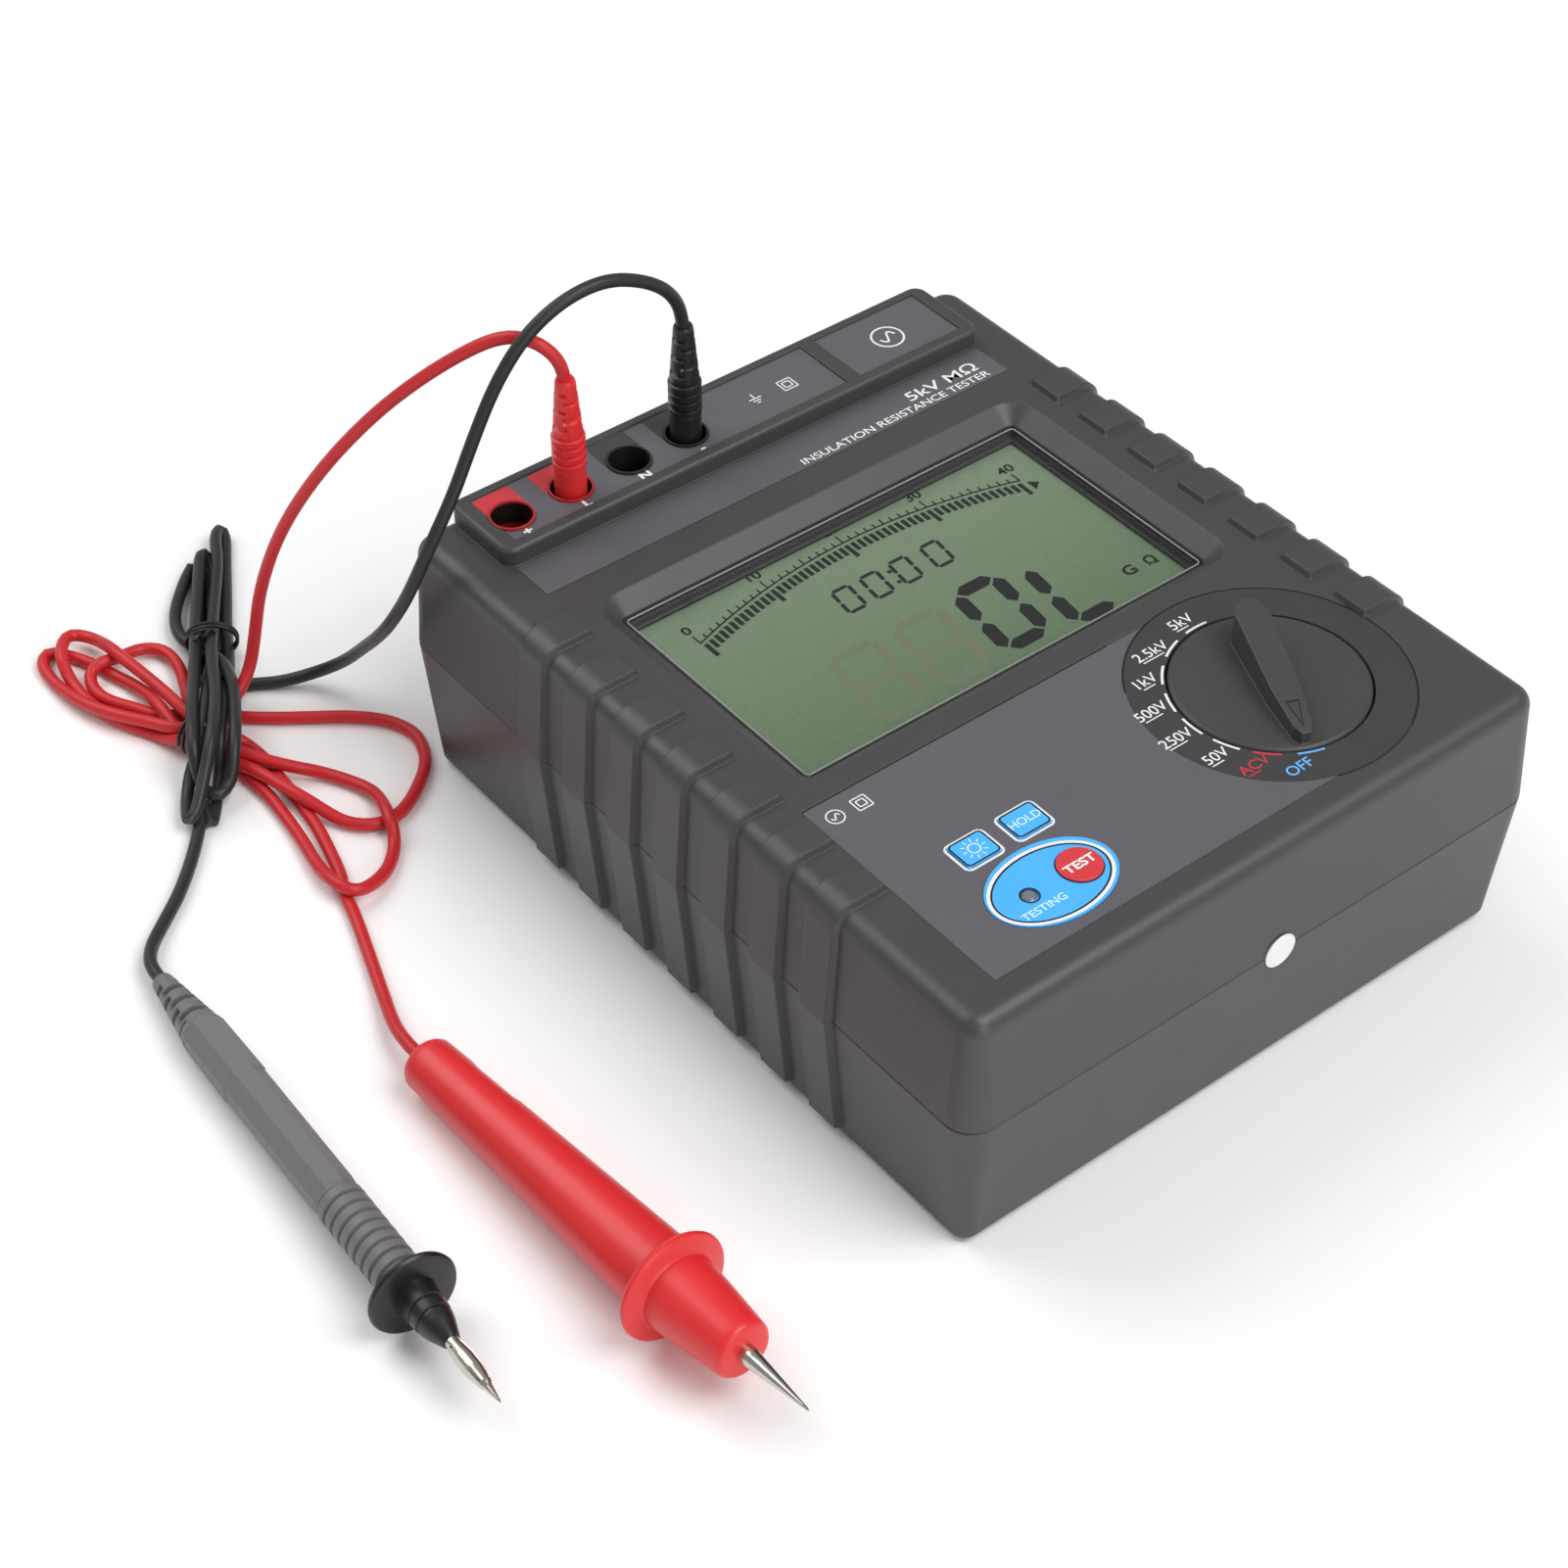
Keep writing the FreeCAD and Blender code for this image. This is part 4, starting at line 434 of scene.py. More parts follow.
@dataclass(frozen=True)
class Turned:
    """A piece turned on an axis, whose radius may vary round it.

    The surface is P(k, a) = start + z_k * axis + r(k, a) * (cos a * side + sin a * other).
    """

    start: tuple[float, float, float]
    axis: Axis = Axis.UP
    sides: int = 48

    def frame(self) -> tuple[np.ndarray, np.ndarray, np.ndarray]:
        """The axis and two unit vectors square to it; the second points as far up as it can."""
        along = unit(np.array(self.axis.value))
        hint = np.array([0.0, 0.0, 1.0]) if abs(along[2]) < 0.9 else np.array([0.0, 1.0, 0.0])
        side = unit(np.cross(along, hint))
        return along, side, np.cross(side, along) * -1.0

    def points(self, heights: np.ndarray, radii: np.ndarray) -> np.ndarray:
        """Ring points for heights (k) and radii (k) or (k, sides)."""
        along, side, other = self.frame()
        angles = np.arange(self.sides) * (2.0 * math.pi / self.sides)
        if radii.ndim == 1:
            radii = np.repeat(radii[:, None], self.sides, 1)
        spin = np.cos(angles)[:, None] * side + np.sin(angles)[:, None] * other
        rings = np.array(self.start) + heights[:, None, None] * along + radii[..., None] * spin
        return rings.reshape(-1, 3)

    def build(self, name: str, profile: list, finish: Finish, body: str = ROOT,
              shape: Callable | None = None) -> bpy.types.Object:
        """Turn a profile of (height, radius) pairs, in millimetres, into a closed piece.

        Args:
            name: the piece's name.
            profile: pairs from one end to the other.
            finish: what it is made of.
            body: what it moves with.
            shape: optional function of (heights, angles, radii) that gives radii round each ring.

        Returns:
            The new object.
        """
        line = np.array(profile, float)
        heights, radii = line[:, 0], line[:, 1]
        if shape is not None:
            angles = np.arange(self.sides) * (2.0 * math.pi / self.sides)
            radii = shape(heights[:, None], angles[None, :], radii[:, None])
        faces = capped_faces(len(heights), self.sides)
        return put_mesh(name, self.points(heights, radii), faces, finish, body)


def refined(profile: list, step: float) -> list:
    """Split each run of a (height, radius) profile into pieces no longer than step."""
    out = [profile[0]]
    for (z0, r0), (z1, r1) in zip(profile, profile[1:]):
        parts = max(1, math.ceil(abs(z1 - z0) / step))
        out += [(z0 + (z1 - z0) * k / parts, r0 + (r1 - r0) * k / parts) for k in range(1, parts + 1)]
    return out


def tube_points(path: np.ndarray, radius: float, sides: int) -> np.ndarray:
    """Rings round a path: centre + radius * (cos a * side + sin a * other), with frames carried along.

    Args:
        path: (n, 3) centres in millimetres.
        radius: the tube's radius.
        sides: points in a ring.

    Returns:
        (n * sides, 3) points. Each ring's side vector is the one before it, made square to the new tangent.
    """
    tangents = unit(np.gradient(path, axis=0))
    side = unit(np.cross(tangents[0], [0.3, 1.0, 0.2]))
    sides_at = [side]
    for tangent in tangents[1:]:
        side = unit(side - tangent * float(side @ tangent))
        sides_at.append(side)
    across = np.array(sides_at)
    other = np.cross(tangents, across)
    angles = np.arange(sides) * (2.0 * math.pi / sides)
    rings = (path[:, None] + radius * (np.cos(angles)[None, :, None] * across[:, None]
                                       + np.sin(angles)[None, :, None] * other[:, None]))
    return rings.reshape(-1, 3)


# ---------------------------------------------------------------- printing
def arc_points(x: float, y: float, radius: float, start: float, end: float, steps: int = 24) -> np.ndarray:
    """Points of an arc: centre + radius * (cos a, sin a), for a from start to end in degrees."""
    angles = np.radians(np.linspace(start, end, steps))
    return np.stack([x + radius * np.cos(angles), y + radius * np.sin(angles)], -1)


def oval_points(x: float, y: float, half_x: float, half_y: float, steps: int = 96) -> np.ndarray:
    """Points of an ellipse: centre + (half_x * cos a, half_y * sin a), for a all the way round."""
    angles = np.linspace(0.0, 2.0 * math.pi, steps, endpoint=False)
    return np.stack([x + half_x * np.cos(angles), y + half_y * np.sin(angles)], -1)


def rounded_points(x: float, y: float, half_x: float, half_y: float, radius: float) -> np.ndarray:
    """Points of a rectangle about a centre whose corners are arcs of the radius."""
    in_x, in_y = half_x - radius, half_y - radius
    parts = [arc_points(x + sx * in_x, y + sy * in_y, radius, start, start + 90.0, 8)
             for sx, sy, start in ((1, 1, 0.0), (-1, 1, 90.0), (-1, -1, 180.0), (1, -1, 270.0))]
    return np.concatenate(parts)


def wave_points(x: float, y: float, stride: float, height: float, steps: int) -> np.ndarray:
    """Points of one sine wave about a centre: (x + t * stride, y + height * sin t), t from -pi to pi."""
    turn = np.linspace(-math.pi, math.pi, steps)
    return np.stack([x + turn * stride, y + height * np.sin(turn)], -1)


def drawn(curve: bpy.types.Curve) -> tuple[np.ndarray, list]:
    """Turn a curve or a line of lettering into points and faces, and remove it.

    Args:
        curve: the curve's data.

    Returns:
        (n, 3) points in the curve's own units, and a list of point numbers per face.
    """
    holder = bpy.data.objects.new("drawing", curve)
    bpy.context.scene.collection.objects.link(holder)
    bpy.context.view_layer.update()
    mesh = bpy.data.meshes.new_from_object(holder.evaluated_get(bpy.context.evaluated_depsgraph_get()))
    points = np.empty(len(mesh.vertices) * 3)
    mesh.vertices.foreach_get("co", points)
    faces = [list(polygon.vertices) for polygon in mesh.polygons]
    bpy.data.objects.remove(holder)
    bpy.data.meshes.remove(mesh)
    bpy.data.curves.remove(curve)
    return points.reshape(-1, 3), faces


class Print:
    """One ink, or one painted shade, on one level surface: bands, areas and lettering gathered into a single
    flat mesh.
    """

    sign_cap = 0.73
    sign_middle = 0.33

    def __init__(self, name: str, finish: Finish, level: float, body: str = ROOT) -> None:
        """Start an empty print that lies at a height in millimetres."""
        self.name = name
        self.finish = finish
        self.level = level
        self.body = body
        self.points: list[np.ndarray] = []
        self.faces: list[list[int]] = []
        self.count = 0

    def add(self, points: np.ndarray, faces: list) -> None:
        """Gather flat points (n, 2) and their faces."""
        self.points.append(np.asarray(points, float)[:, :2])
        self.faces += [[index + self.count for index in face] for face in faces]
        self.count += len(points)

    def area(self, outline: np.ndarray) -> None:
        """Fill a convex outline that runs anticlockwise."""
        self.add(outline, [list(range(len(outline)))])

    def band(self, line: np.ndarray, width: float, closed: bool = False) -> None:
        """A stripe of the width along a line: each point moved half the width to both sides."""
        line = np.asarray(line, float)
        if closed:
            slope = np.roll(line, -1, 0) - np.roll(line, 1, 0)
        else:
            slope = np.gradient(line, axis=0)
        slope = unit(slope)
        normal = np.stack([-slope[:, 1], slope[:, 0]], -1) * (width / 2.0)
        points = np.stack([line + normal, line - normal], 1).reshape(-1, 2)
        self.add(points, self.ring_faces(len(line)) if closed else grid_faces(len(line), 2, False).tolist())

    @staticmethod
    def ring_faces(count: int) -> list:
        """Quads of a closed stripe of count pairs of points."""
        first = np.arange(count) * 2
        after = (first + 2) % (2 * count)
        return np.stack([first, first + 1, after + 1, after], -1).tolist()

    def text(self, words: str, x: float, y: float, height: float, align: Align = Align.MIDDLE,
             weight: float = 0.0, stretch: float = 1.0, width: float = 0.0) -> None:
        """Lettering of a cap height at a place.

        Args:
            words: what it says.
            x: middle or right end, by align.
            y: the middle of the letters' height.
            height: cap height in millimetres.
            align: which of the two x is.
            weight: how much the strokes are thickened, as a share of the height.
            stretch: width over the plain width.
            width: the whole line's width in millimetres, in place of stretch, if it isn't zero.
        """
        curve = bpy.data.curves.new("lettering", "FONT")
        curve.body = words
        curve.offset = weight
        curve.resolution_u = 4
        points, faces = drawn(curve)
        flat = points[:, :2]
        low, high = flat.min(0), flat.max(0)
        has_sign = any(sign in words for sign in "+-–")
        cap = self.sign_cap if has_sign else high[1] - low[1]
        middle = self.sign_middle if has_sign else (low[1] + high[1]) / 2.0
        scale = height / cap
        anchor = high[0] if align is Align.RIGHT else (low[0] + high[0]) / 2.0
        if width:
            stretch = width / ((high[0] - low[0]) * scale)
        up = (flat[:, 1] - middle) * scale
        across = (flat[:, 0] - anchor) * scale * stretch
        self.add(np.stack([x + across, y + up], -1), faces)

    def finish_piece(self) -> bpy.types.Object:
        """Make the print's piece."""
        flat = np.concatenate(self.points)
        points = np.column_stack([flat, np.full(len(flat), self.level)])
        return put_mesh(self.name, points, self.faces, self.finish, self.body, smooth=False)


INK_LIFT = 0.035


# ---------------------------------------------------------------- sub-assemblies
@dataclass
class Dial:
    """The printed range scale round the knob."""

    x: float = 42.6
    y: float = -68.6
    tick_radius: float = 26.75
    tick_half_angle: float = 7.6
    tick_width: float = 0.66
    letter_height: float = 3.3
    line_gap: float = 0.75
    line_width: float = 0.36
    groove_radius: float = 36.5
    level: float = 78.0

    def labels(self) -> list[tuple[str, float, float, float, float, float, Finish]]:
        """Each range's words, their x and y, the ends of their line, the tick's angle and the ink."""
        return [
            ("5kV", 41.1, -37.9, 37.7, 41.7, 90.0, WHITE_INK),
            ("2.5kV", 27.2, -41.7, 22.7, 29.7, 113.0, WHITE_INK),
            ("1kV", 18.6, -49.1, 15.9, 19.7, 136.0, WHITE_INK),
            ("500V", 11.9, -58.3, 8.0, 13.7, 158.5, WHITE_INK),
            ("250V", 9.9, -69.3, 5.8, 11.6, 180.0, WHITE_INK),
            ("50V", 13.1, -79.9, 9.8, 13.7, 202.0, WHITE_INK),
            ("ACV", 18.0, -88.0, 14.1, 18.3, 224.0, RED_INK),
            ("OFF", 26.2, -95.3, 0.0, 0.0, 247.5, BLUE_INK),
        ]

    def build(self) -> None:
        """Print the ticks, the names and the line under each name, and paint the shade of the groove round
        the dial.
        """
        prints = {paint: Print("dial_marks_" + tag, paint, self.level + INK_LIFT)
                  for paint, tag in ((WHITE_INK, "white"), (RED_INK, "red"), (BLUE_INK, "blue"))}
        for words, x, y, line_from, line_to, angle, paint in self.labels():
            sheet = prints[paint]
            sheet.text(words, x, y, self.letter_height, weight=0.006)
            sheet.band(arc_points(self.x, self.y, self.tick_radius, angle - self.tick_half_angle,
                                  angle + self.tick_half_angle, 14), self.tick_width)
            if line_to > line_from:
                low = y - self.letter_height / 2.0 - self.line_gap
                sheet.band(np.array([[line_from, low], [line_to, low]]), self.line_width)
        for sheet in prints.values():
            sheet.finish_piece()
        # A painted shade ring in the groove round the dial.
        groove = Print("dial_groove_painted_shade", BLACK_INK_AND_GROOVE_SHADE, self.level + INK_LIFT)
        groove.band(arc_points(self.x, self.y, self.groove_radius, -62.0, 148.0, 90), 0.55)
        groove.finish_piece()


@dataclass
class KnobPointer:
    """A fine triangle cut into the sloping top of the finger bar, near its nose; the cut's shade is painted
    as a dark outline.
    """

    x: float = 42.6
    y: float = -68.6
    turn: float = -114.0
    tail: float = 21.5
    tail_height: float = 88.9
    drop: float = 7.0
    length: float = 46.5

    def build(self) -> None:
        """Lay the cut's painted shade, a dark triangle outline, on the slope: z = tail_height - drop * (s +
        tail) / length.
        """
        outer = np.array([[13.6, 1.9], [13.6, -1.9], [22.2, 0.0]])
        middle = outer.mean(0)
        flat = np.concatenate([outer, middle + (outer - middle) * 0.76])
        angle = math.radians(self.turn)
        along = np.array([math.cos(angle), math.sin(angle)])
        across = np.array([-along[1], along[0]])
        places = np.array([self.x, self.y]) + flat[:, :1] * along + flat[:, 1:] * across
        heights = self.tail_height - self.drop * (flat[:, 0] + self.tail) / self.length + INK_LIFT
        faces = [[k, (k + 1) % 3, (k + 1) % 3 + 3, k + 3] for k in range(3)]
        points = np.column_stack([places, heights])
        put_mesh("knob_pointer_painted_shade", points, faces, BLACK_INK_AND_GROOVE_SHADE, "range_knob", smooth=False)


@dataclass
class ControlPanel:
    """The keys' printing: borders, icons and words, and a painted shade line in the groove behind the panel.
    """

    level: float = 78.0
    left: float = -78.1
    back: float = -33.2
    key_x: tuple[float, float] = (-54.2, -38.4)
    key_y: float = -68.3
    oval: tuple[float, float] = (-47.4, -87.9)
    oval_half: tuple[float, float] = (17.3, 11.7)
    lamp: tuple[float, float] = (-54.2, -88.0)
    test: tuple[float, float] = (-38.4, -87.7)

    def build(self) -> None:
        """Print everything that the panel carries."""
        white = Print("panel_marks_white", WHITE_INK, self.level + INK_LIFT)
        black = Print("panel_groove_painted_shade", BLACK_INK_AND_GROOVE_SHADE, self.level + INK_LIFT)
        for x in self.key_x:
            white.band(rounded_points(x, self.key_y, 5.78, 4.83, 1.6), 0.72, closed=True)
        # A painted shade line in the groove along the panel's back edge.
        black.band(np.array([[x, self.back] for x in (self.left, self.left + 60.0, 20.0)]), 0.45)
        self.mark_symbols(white)
        white.finish_piece()
        black.finish_piece()
        self.mark_keys()
        self.mark_oval()

    def mark_symbols(self, white: Print) -> None:
        """Two plain outline symbols at the panel's corner: a ringed wave and a doubled square."""
        line = 0.38
        y = -39.2
        white.band(oval_points(-72.6, y, 2.3, 2.3), line, closed=True)
        white.band(wave_points(-72.6, y, 0.42, 0.85, 20), line)
        for half in (2.1, 1.1):
            white.band(rounded_points(-64.6, y, half, half, 0.3), line, closed=True)

    def mark_keys(self) -> None:
        """A sun on one key and a word on the other; each rides on its key."""
        top = self.level + 0.6 + INK_LIFT
        for body, x in zip(("light_button", "hold_button"), self.key_x):
            rim = Print(body + "_rim", BLACK_INK_AND_GROOVE_SHADE, top, body)
            rim.band(rounded_points(x, self.key_y, 4.95, 4.05, 1.1), 0.46, closed=True)
            rim.finish_piece()
        sun = Print("light_key_sun", PALE_INK, top, "light_button")
        sun.band(oval_points(self.key_x[0], self.key_y, 1.55, 1.55), 0.4, closed=True)
        for angle in range(0, 360, 36):
            ray = np.array([math.cos(math.radians(angle)), math.sin(math.radians(angle))])
            centre = np.array([self.key_x[0], self.key_y])
            sun.band(np.array([centre + ray * 2.25, centre + ray * 3.35]), 0.36)
        sun.finish_piece()
        word = Print("hold_key_word", PALE_INK, top, "hold_button")
        word.text("HOLD", self.key_x[1], self.key_y, 2.5, weight=0.012, width=9.4)
        word.finish_piece()

    def mark_oval(self) -> None:
        """The oval's white border, black line, lamp ring, words and the test key's own marks."""
        top = self.level + 0.3 + INK_LIFT
        x, y = self.oval
        white = Print("oval_border_white", WHITE_INK, top)
        half_x, half_y = self.oval_half
        white.band(oval_points(x, y, half_x - 0.45, half_y - 0.45), 0.9, closed=True)
        white.finish_piece()
        black = Print("oval_border_black", BLACK_INK_AND_GROOVE_SHADE, top)
        black.band(oval_points(x, y, half_x - 1.15, half_y - 1.15), 0.5, closed=True)
        black.band(oval_points(*self.lamp, 2.35, 2.35), 0.45, closed=True)
        black.band(oval_points(*self.test, 5.75, 5.75), 0.4, closed=True)
        black.finish_piece()
        words = Print("testing_word", PALE_INK, top)
        words.text("TESTING", -54.0, -92.9, 2.3, weight=0.015, width=13.0)
        words.finish_piece()
        test = Print("test_key_word", WHITE_INK, self.level + 0.9 + INK_LIFT, "test_button")
        test.text("TEST", self.test[0], self.test[1], 2.7, weight=0.03, width=9.2)
        test.finish_piece()


@dataclass
class TitleStrip:
    """The grey strip in front of the socket bar, with generic lettering."""

    level: float = 78.0

    def build(self) -> None:
        """Print what the tester is, its highest voltage and its unit."""
        white = Print("title_words", WHITE_INK, self.level + INK_LIFT)
        white.text("INSULATION RESISTANCE TESTER", 73.4, 73.3, 2.6, Align.RIGHT, weight=0.008, width=66.0)
        white.text("5kV MΩ", 72.4, 78.1, 4.2, Align.RIGHT, weight=0.012, width=24.5)
        white.finish_piece()


@dataclass
class SocketBar:
    """Marks of the raised bar: coloured patches, polarity signs and plain symbols."""

    level: float = 83.0
    line_y: float = 97.6
    sign_y: float = 89.95
    socket_x: tuple[float, ...] = (-70.3, -51.3, -32.3, -13.3)

    def build(self) -> None:
        """Print the patches behind the sockets and the signs in front of them."""
        for name, paint, places in (("red", RED_INK, self.socket_x[:2]),
                                    ("dark", DARK_INK, self.socket_x[2:])):
            patch = Print("socket_patch_" + name, paint, self.level + INK_LIFT)
            for x in places:
                self.patch(patch, x)
            patch.finish_piece()
        white = Print("socket_signs", WHITE_INK, self.level + INK_LIFT)
        for words, x in zip(("+", "L", "N", "-"), self.socket_x):
            white.text(words, x - 0.2, self.sign_y, 2.75, weight=0.04, stretch=1.3)
        self.mark_symbols(white)
        white.finish_piece()

    def patch(self, sheet: Print, x: float) -> None:
        """A block behind a socket, as wide as its rim, with the socket's own round hole left out of it."""
        rim, back = 6.4, 11.3
        angles = np.radians(np.linspace(0.0, 180.0, 37))
        ring = np.stack([x + rim * np.cos(angles), self.line_y + rim * np.sin(angles)], -1)
        reach = np.where(np.sin(angles) > 0.02, back, 0.0)
        outer = np.stack([x + rim * np.cos(angles), self.line_y + reach], -1)
        points = np.stack([outer, ring], 1).reshape(-1, 2)
        sheet.add(points, grid_faces(len(ring), 2, False)[:, ::-1].tolist())

    def mark_symbols(self, white: Print) -> None:
        """Plain outline symbols: an earth sign, a doubled square and a ringed wave."""
        x, y = 11.0, 98.3
        white.band(np.array([[x, y + 2.6], [x, y + 0.2]]), 0.4)
        for row, half in enumerate((2.0, 1.3, 0.6)):
            level = y + 0.2 - row * 1.0
            white.band(np.array([[x - half, level], [x + half, level]]), 0.4)
        for half in (2.2, 1.2):
            white.band(rounded_points(22.0, y, half, half, 0.3), 0.4, closed=True)
        white.band(oval_points(57.6, 98.2, 4.6, 4.6), 0.6, closed=True)
        white.band(wave_points(57.6, 98.2, 0.85, 1.9, 30), 0.6)


@dataclass
class Display:
    """The liquid crystal picture, the gasket round the lens and the idle segments."""

    level: float = 69.7
    slant: float = 0.12
    scale_left: float = -53.5
    scale_length: float = 108.7
    scale_top: float = 47.9
    scale_fall: float = 9.0
    divisions: int = 40
    blocks: int = 53

    def build(self) -> None:
        """Draw the arc, the bars, the digits, the units and the rim."""
        dark = Print("display_segments", SEGMENT, self.level + INK_LIFT)
        self.draw_scale(dark)
        for x in (-12.6, -3.2, 6.6, 17.4):
            self.digit(dark, "0", x, 29.0, 6.6, 10.4, 1.15)
        for y in (26.3, 31.0):
            dark.area(rounded_points(1.9 + self.slant * (y - 29.0) + 0.6, y, 0.62, 0.62, 0.2))
        self.digit(dark, "0", 14.8, 0.6, 17.0, 28.6, 4.2)
        self.digit(dark, "L", 36.0, -2.6, 17.0, 28.6, 4.2)
        dark.text("G", 52.4, -7.6, 4.0, stretch=1.1, weight=0.03)
        dark.text("Ω", 59.6, -7.8, 4.0, weight=0.03)
        dark.finish_piece()
        faint = Print("display_idle_segments", FAINT_SEGMENT, self.level + INK_LIFT * 0.6)
        for x in (-27.0, -6.0):
            self.digit(faint, "8", x, -0.5, 16.6, 28.0, 2.6)
        faint.finish_piece()
        self.rim()

    def arc(self, across: np.ndarray, rise: float) -> np.ndarray:
        """Points of the scale's arch: it falls with the square of the distance from its middle."""
        x = self.scale_left + across * self.scale_length
        y = self.scale_top - self.scale_fall * ((across - 0.5) / 0.5) ** 2 + rise
        return np.stack([x, y], -1)

    def draw_scale(self, dark: Print) -> None:
        """A base line with forty divisions above it and a bar of blocks below it."""
        dark.band(self.arc(np.linspace(0.0, 1.0, 80), 0.0), 0.55)
        for step in range(self.divisions + 1):
            share = np.array([step / self.divisions])
            rise = 3.4 if step % 10 == 0 else 2.4 if step % 5 == 0 else 1.7
            dark.band(np.concatenate([self.arc(share, 0.0), self.arc(share, rise)]), 0.5)
        for number in range(5):
            place = self.arc(np.array([number / 4.0]), 6.1)[0]
            dark.text(str(number * 10), place[0], place[1], 3.3, weight=0.02, stretch=1.15)
        for step in range(self.blocks):
            share = np.array([(step + 0.4) / self.blocks])
            deep = 5.6 if step % 13 == 0 else 3.6
            dark.band(np.concatenate([self.arc(share, -1.3), self.arc(share, -1.3 - deep)]), 1.35)
        tip = self.arc(np.array([1.0]), -3.6)[0]
        dark.area(tip + np.array([[1.0, -2.2], [3.8, 0.0], [1.0, 2.2]]))

    def digit(self, sheet: Print, sign: str, x: float, y: float, width: float, height: float,
              stroke: float) -> None:
        """A seven-segment sign: six-sided bars, each pointed at both ends, leaned to the right.

        Args:
            sheet: the print that it goes on.
            sign: which sign.
            x: its middle.
            y: its middle.
            width: how wide it is.
            height: how tall it is.
            stroke: how wide its bars are.
        """
        lit = {"0": "abcdef", "8": "abcdefg", "L": "def"}[sign]
        half, quarter = width / 2.0 - stroke / 2.0, height / 4.0
        tall = height / 2.0 - stroke / 2.0
        middle = {"a": (0, tall), "g": (0, 0), "d": (0, -tall)}
        upright = {"f": (-half, quarter - stroke / 4), "b": (half, quarter - stroke / 4),
                   "e": (-half, -quarter + stroke / 4), "c": (half, -quarter + stroke / 4)}
        gap = stroke * 0.14
        edge = stroke / 2
        for name in lit:
            if name in middle:
                run = half - gap
                bar = np.array([[-run, 0], [-run + edge, -edge], [run - edge, -edge],
                                [run, 0], [run - edge, edge], [-run + edge, edge]])
            else:
                run = tall / 2.0 - gap
                bar = np.array([[0, -run], [edge, -run + edge], [edge, run - edge],
                                [0, run], [-edge, run - edge], [-edge, -run + edge]])
            points = bar + (middle | upright)[name]
            sheet.area(np.stack([x + points[:, 0] + self.slant * points[:, 1], y + points[:, 1]], -1))

    def rim(self) -> None:
        """A black gasket line and a painted highlight along the lens's polished edge, both standing a little
        proud of the lens.
        """
        x, y = 0.0, 17.1
        for name, finish, half_x, half_y, width, height in (
                ("lens_gasket", RIM_BLACK, 66.75, 38.15, 0.9, 73.7),
                ("lens_edge_painted_highlight", LENS_EDGE_HIGHLIGHT, 65.75, 37.15, 0.5, 73.62)):
            outline = rounded_points(x, y, half_x, half_y, 1.2)
            slope = unit(np.roll(outline, -1, 0) - np.roll(outline, 1, 0))
            normal = np.stack([slope[:, 1], -slope[:, 0]], -1)
            rounds = np.linspace(0.0, math.pi, 7)
            rows = [np.column_stack([outline + normal * (width / 2.0) * math.cos(a),
                                     np.full(len(outline), height - 0.25 + 0.25 * math.sin(a))])
                    for a in rounds]
            points = np.concatenate(rows)
            put_mesh(name, points, grid_faces(len(rows), len(outline), True).tolist(), finish)


@dataclass
class Plug:
    """A shrouded plug: plain lower body, ringed grip and a slotted sleeve that tapers to the lead."""

    body: str
    x: float
    finish: Finish
    y: float = 97.6
    bottom: float = 64.5
    grip_from: float = 91.0
    grip_to: float = 101.5
    top: float = 118.5

    def profile(self) -> list:
        """Heights and radii, ring by ring."""
        points = [(self.bottom, 3.4), (self.bottom, 4.35), (self.grip_from, 4.35)]
        rings = 4
        pitch = (self.grip_to - self.grip_from) / rings
        for ring in range(rings):
            start = self.grip_from + ring * pitch
            points += [(start + 0.1, 4.3), (start + 0.35, 4.55), (start + pitch * 0.68, 4.55),
                       (start + pitch * 0.78, 4.0), (start + pitch * 0.96, 4.0)]
        points += [(self.grip_to + 0.3, 4.1), (self.grip_to + 3.0, 3.85), (self.top - 0.8, 2.75),
                   (self.top, 2.4), (self.top, 1.85)]
        return refined(points, 0.55)

    def slots(self, heights: np.ndarray, angles: np.ndarray, radii: np.ndarray) -> np.ndarray:
        """Cut staggered slots in the sleeve: rows 2.6 mm apart, each open over two arcs of its ring."""
        row = (heights - self.grip_to - 1.6) / 2.6
        within = (np.abs(row - np.floor(row) - 0.5) < 0.27) & (heights > self.grip_to + 1.6) & (
            heights < self.top - 1.4)
        turn = angles * 2.0 + np.floor(row) * math.pi
        open_arc = np.cos(turn) > -0.25
        depth = np.where(within & open_arc, 0.95, 0.0)
        return radii - depth

    def build(self) -> bpy.types.Object:
        """Make the plug's moulding and let it stand for the CAD one."""
        made = Turned((self.x, self.y, 0.0)).build(
            self.body + "_moulding", self.profile(), self.finish, self.body, self.slots)
        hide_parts(self.body + "_body")
        return made


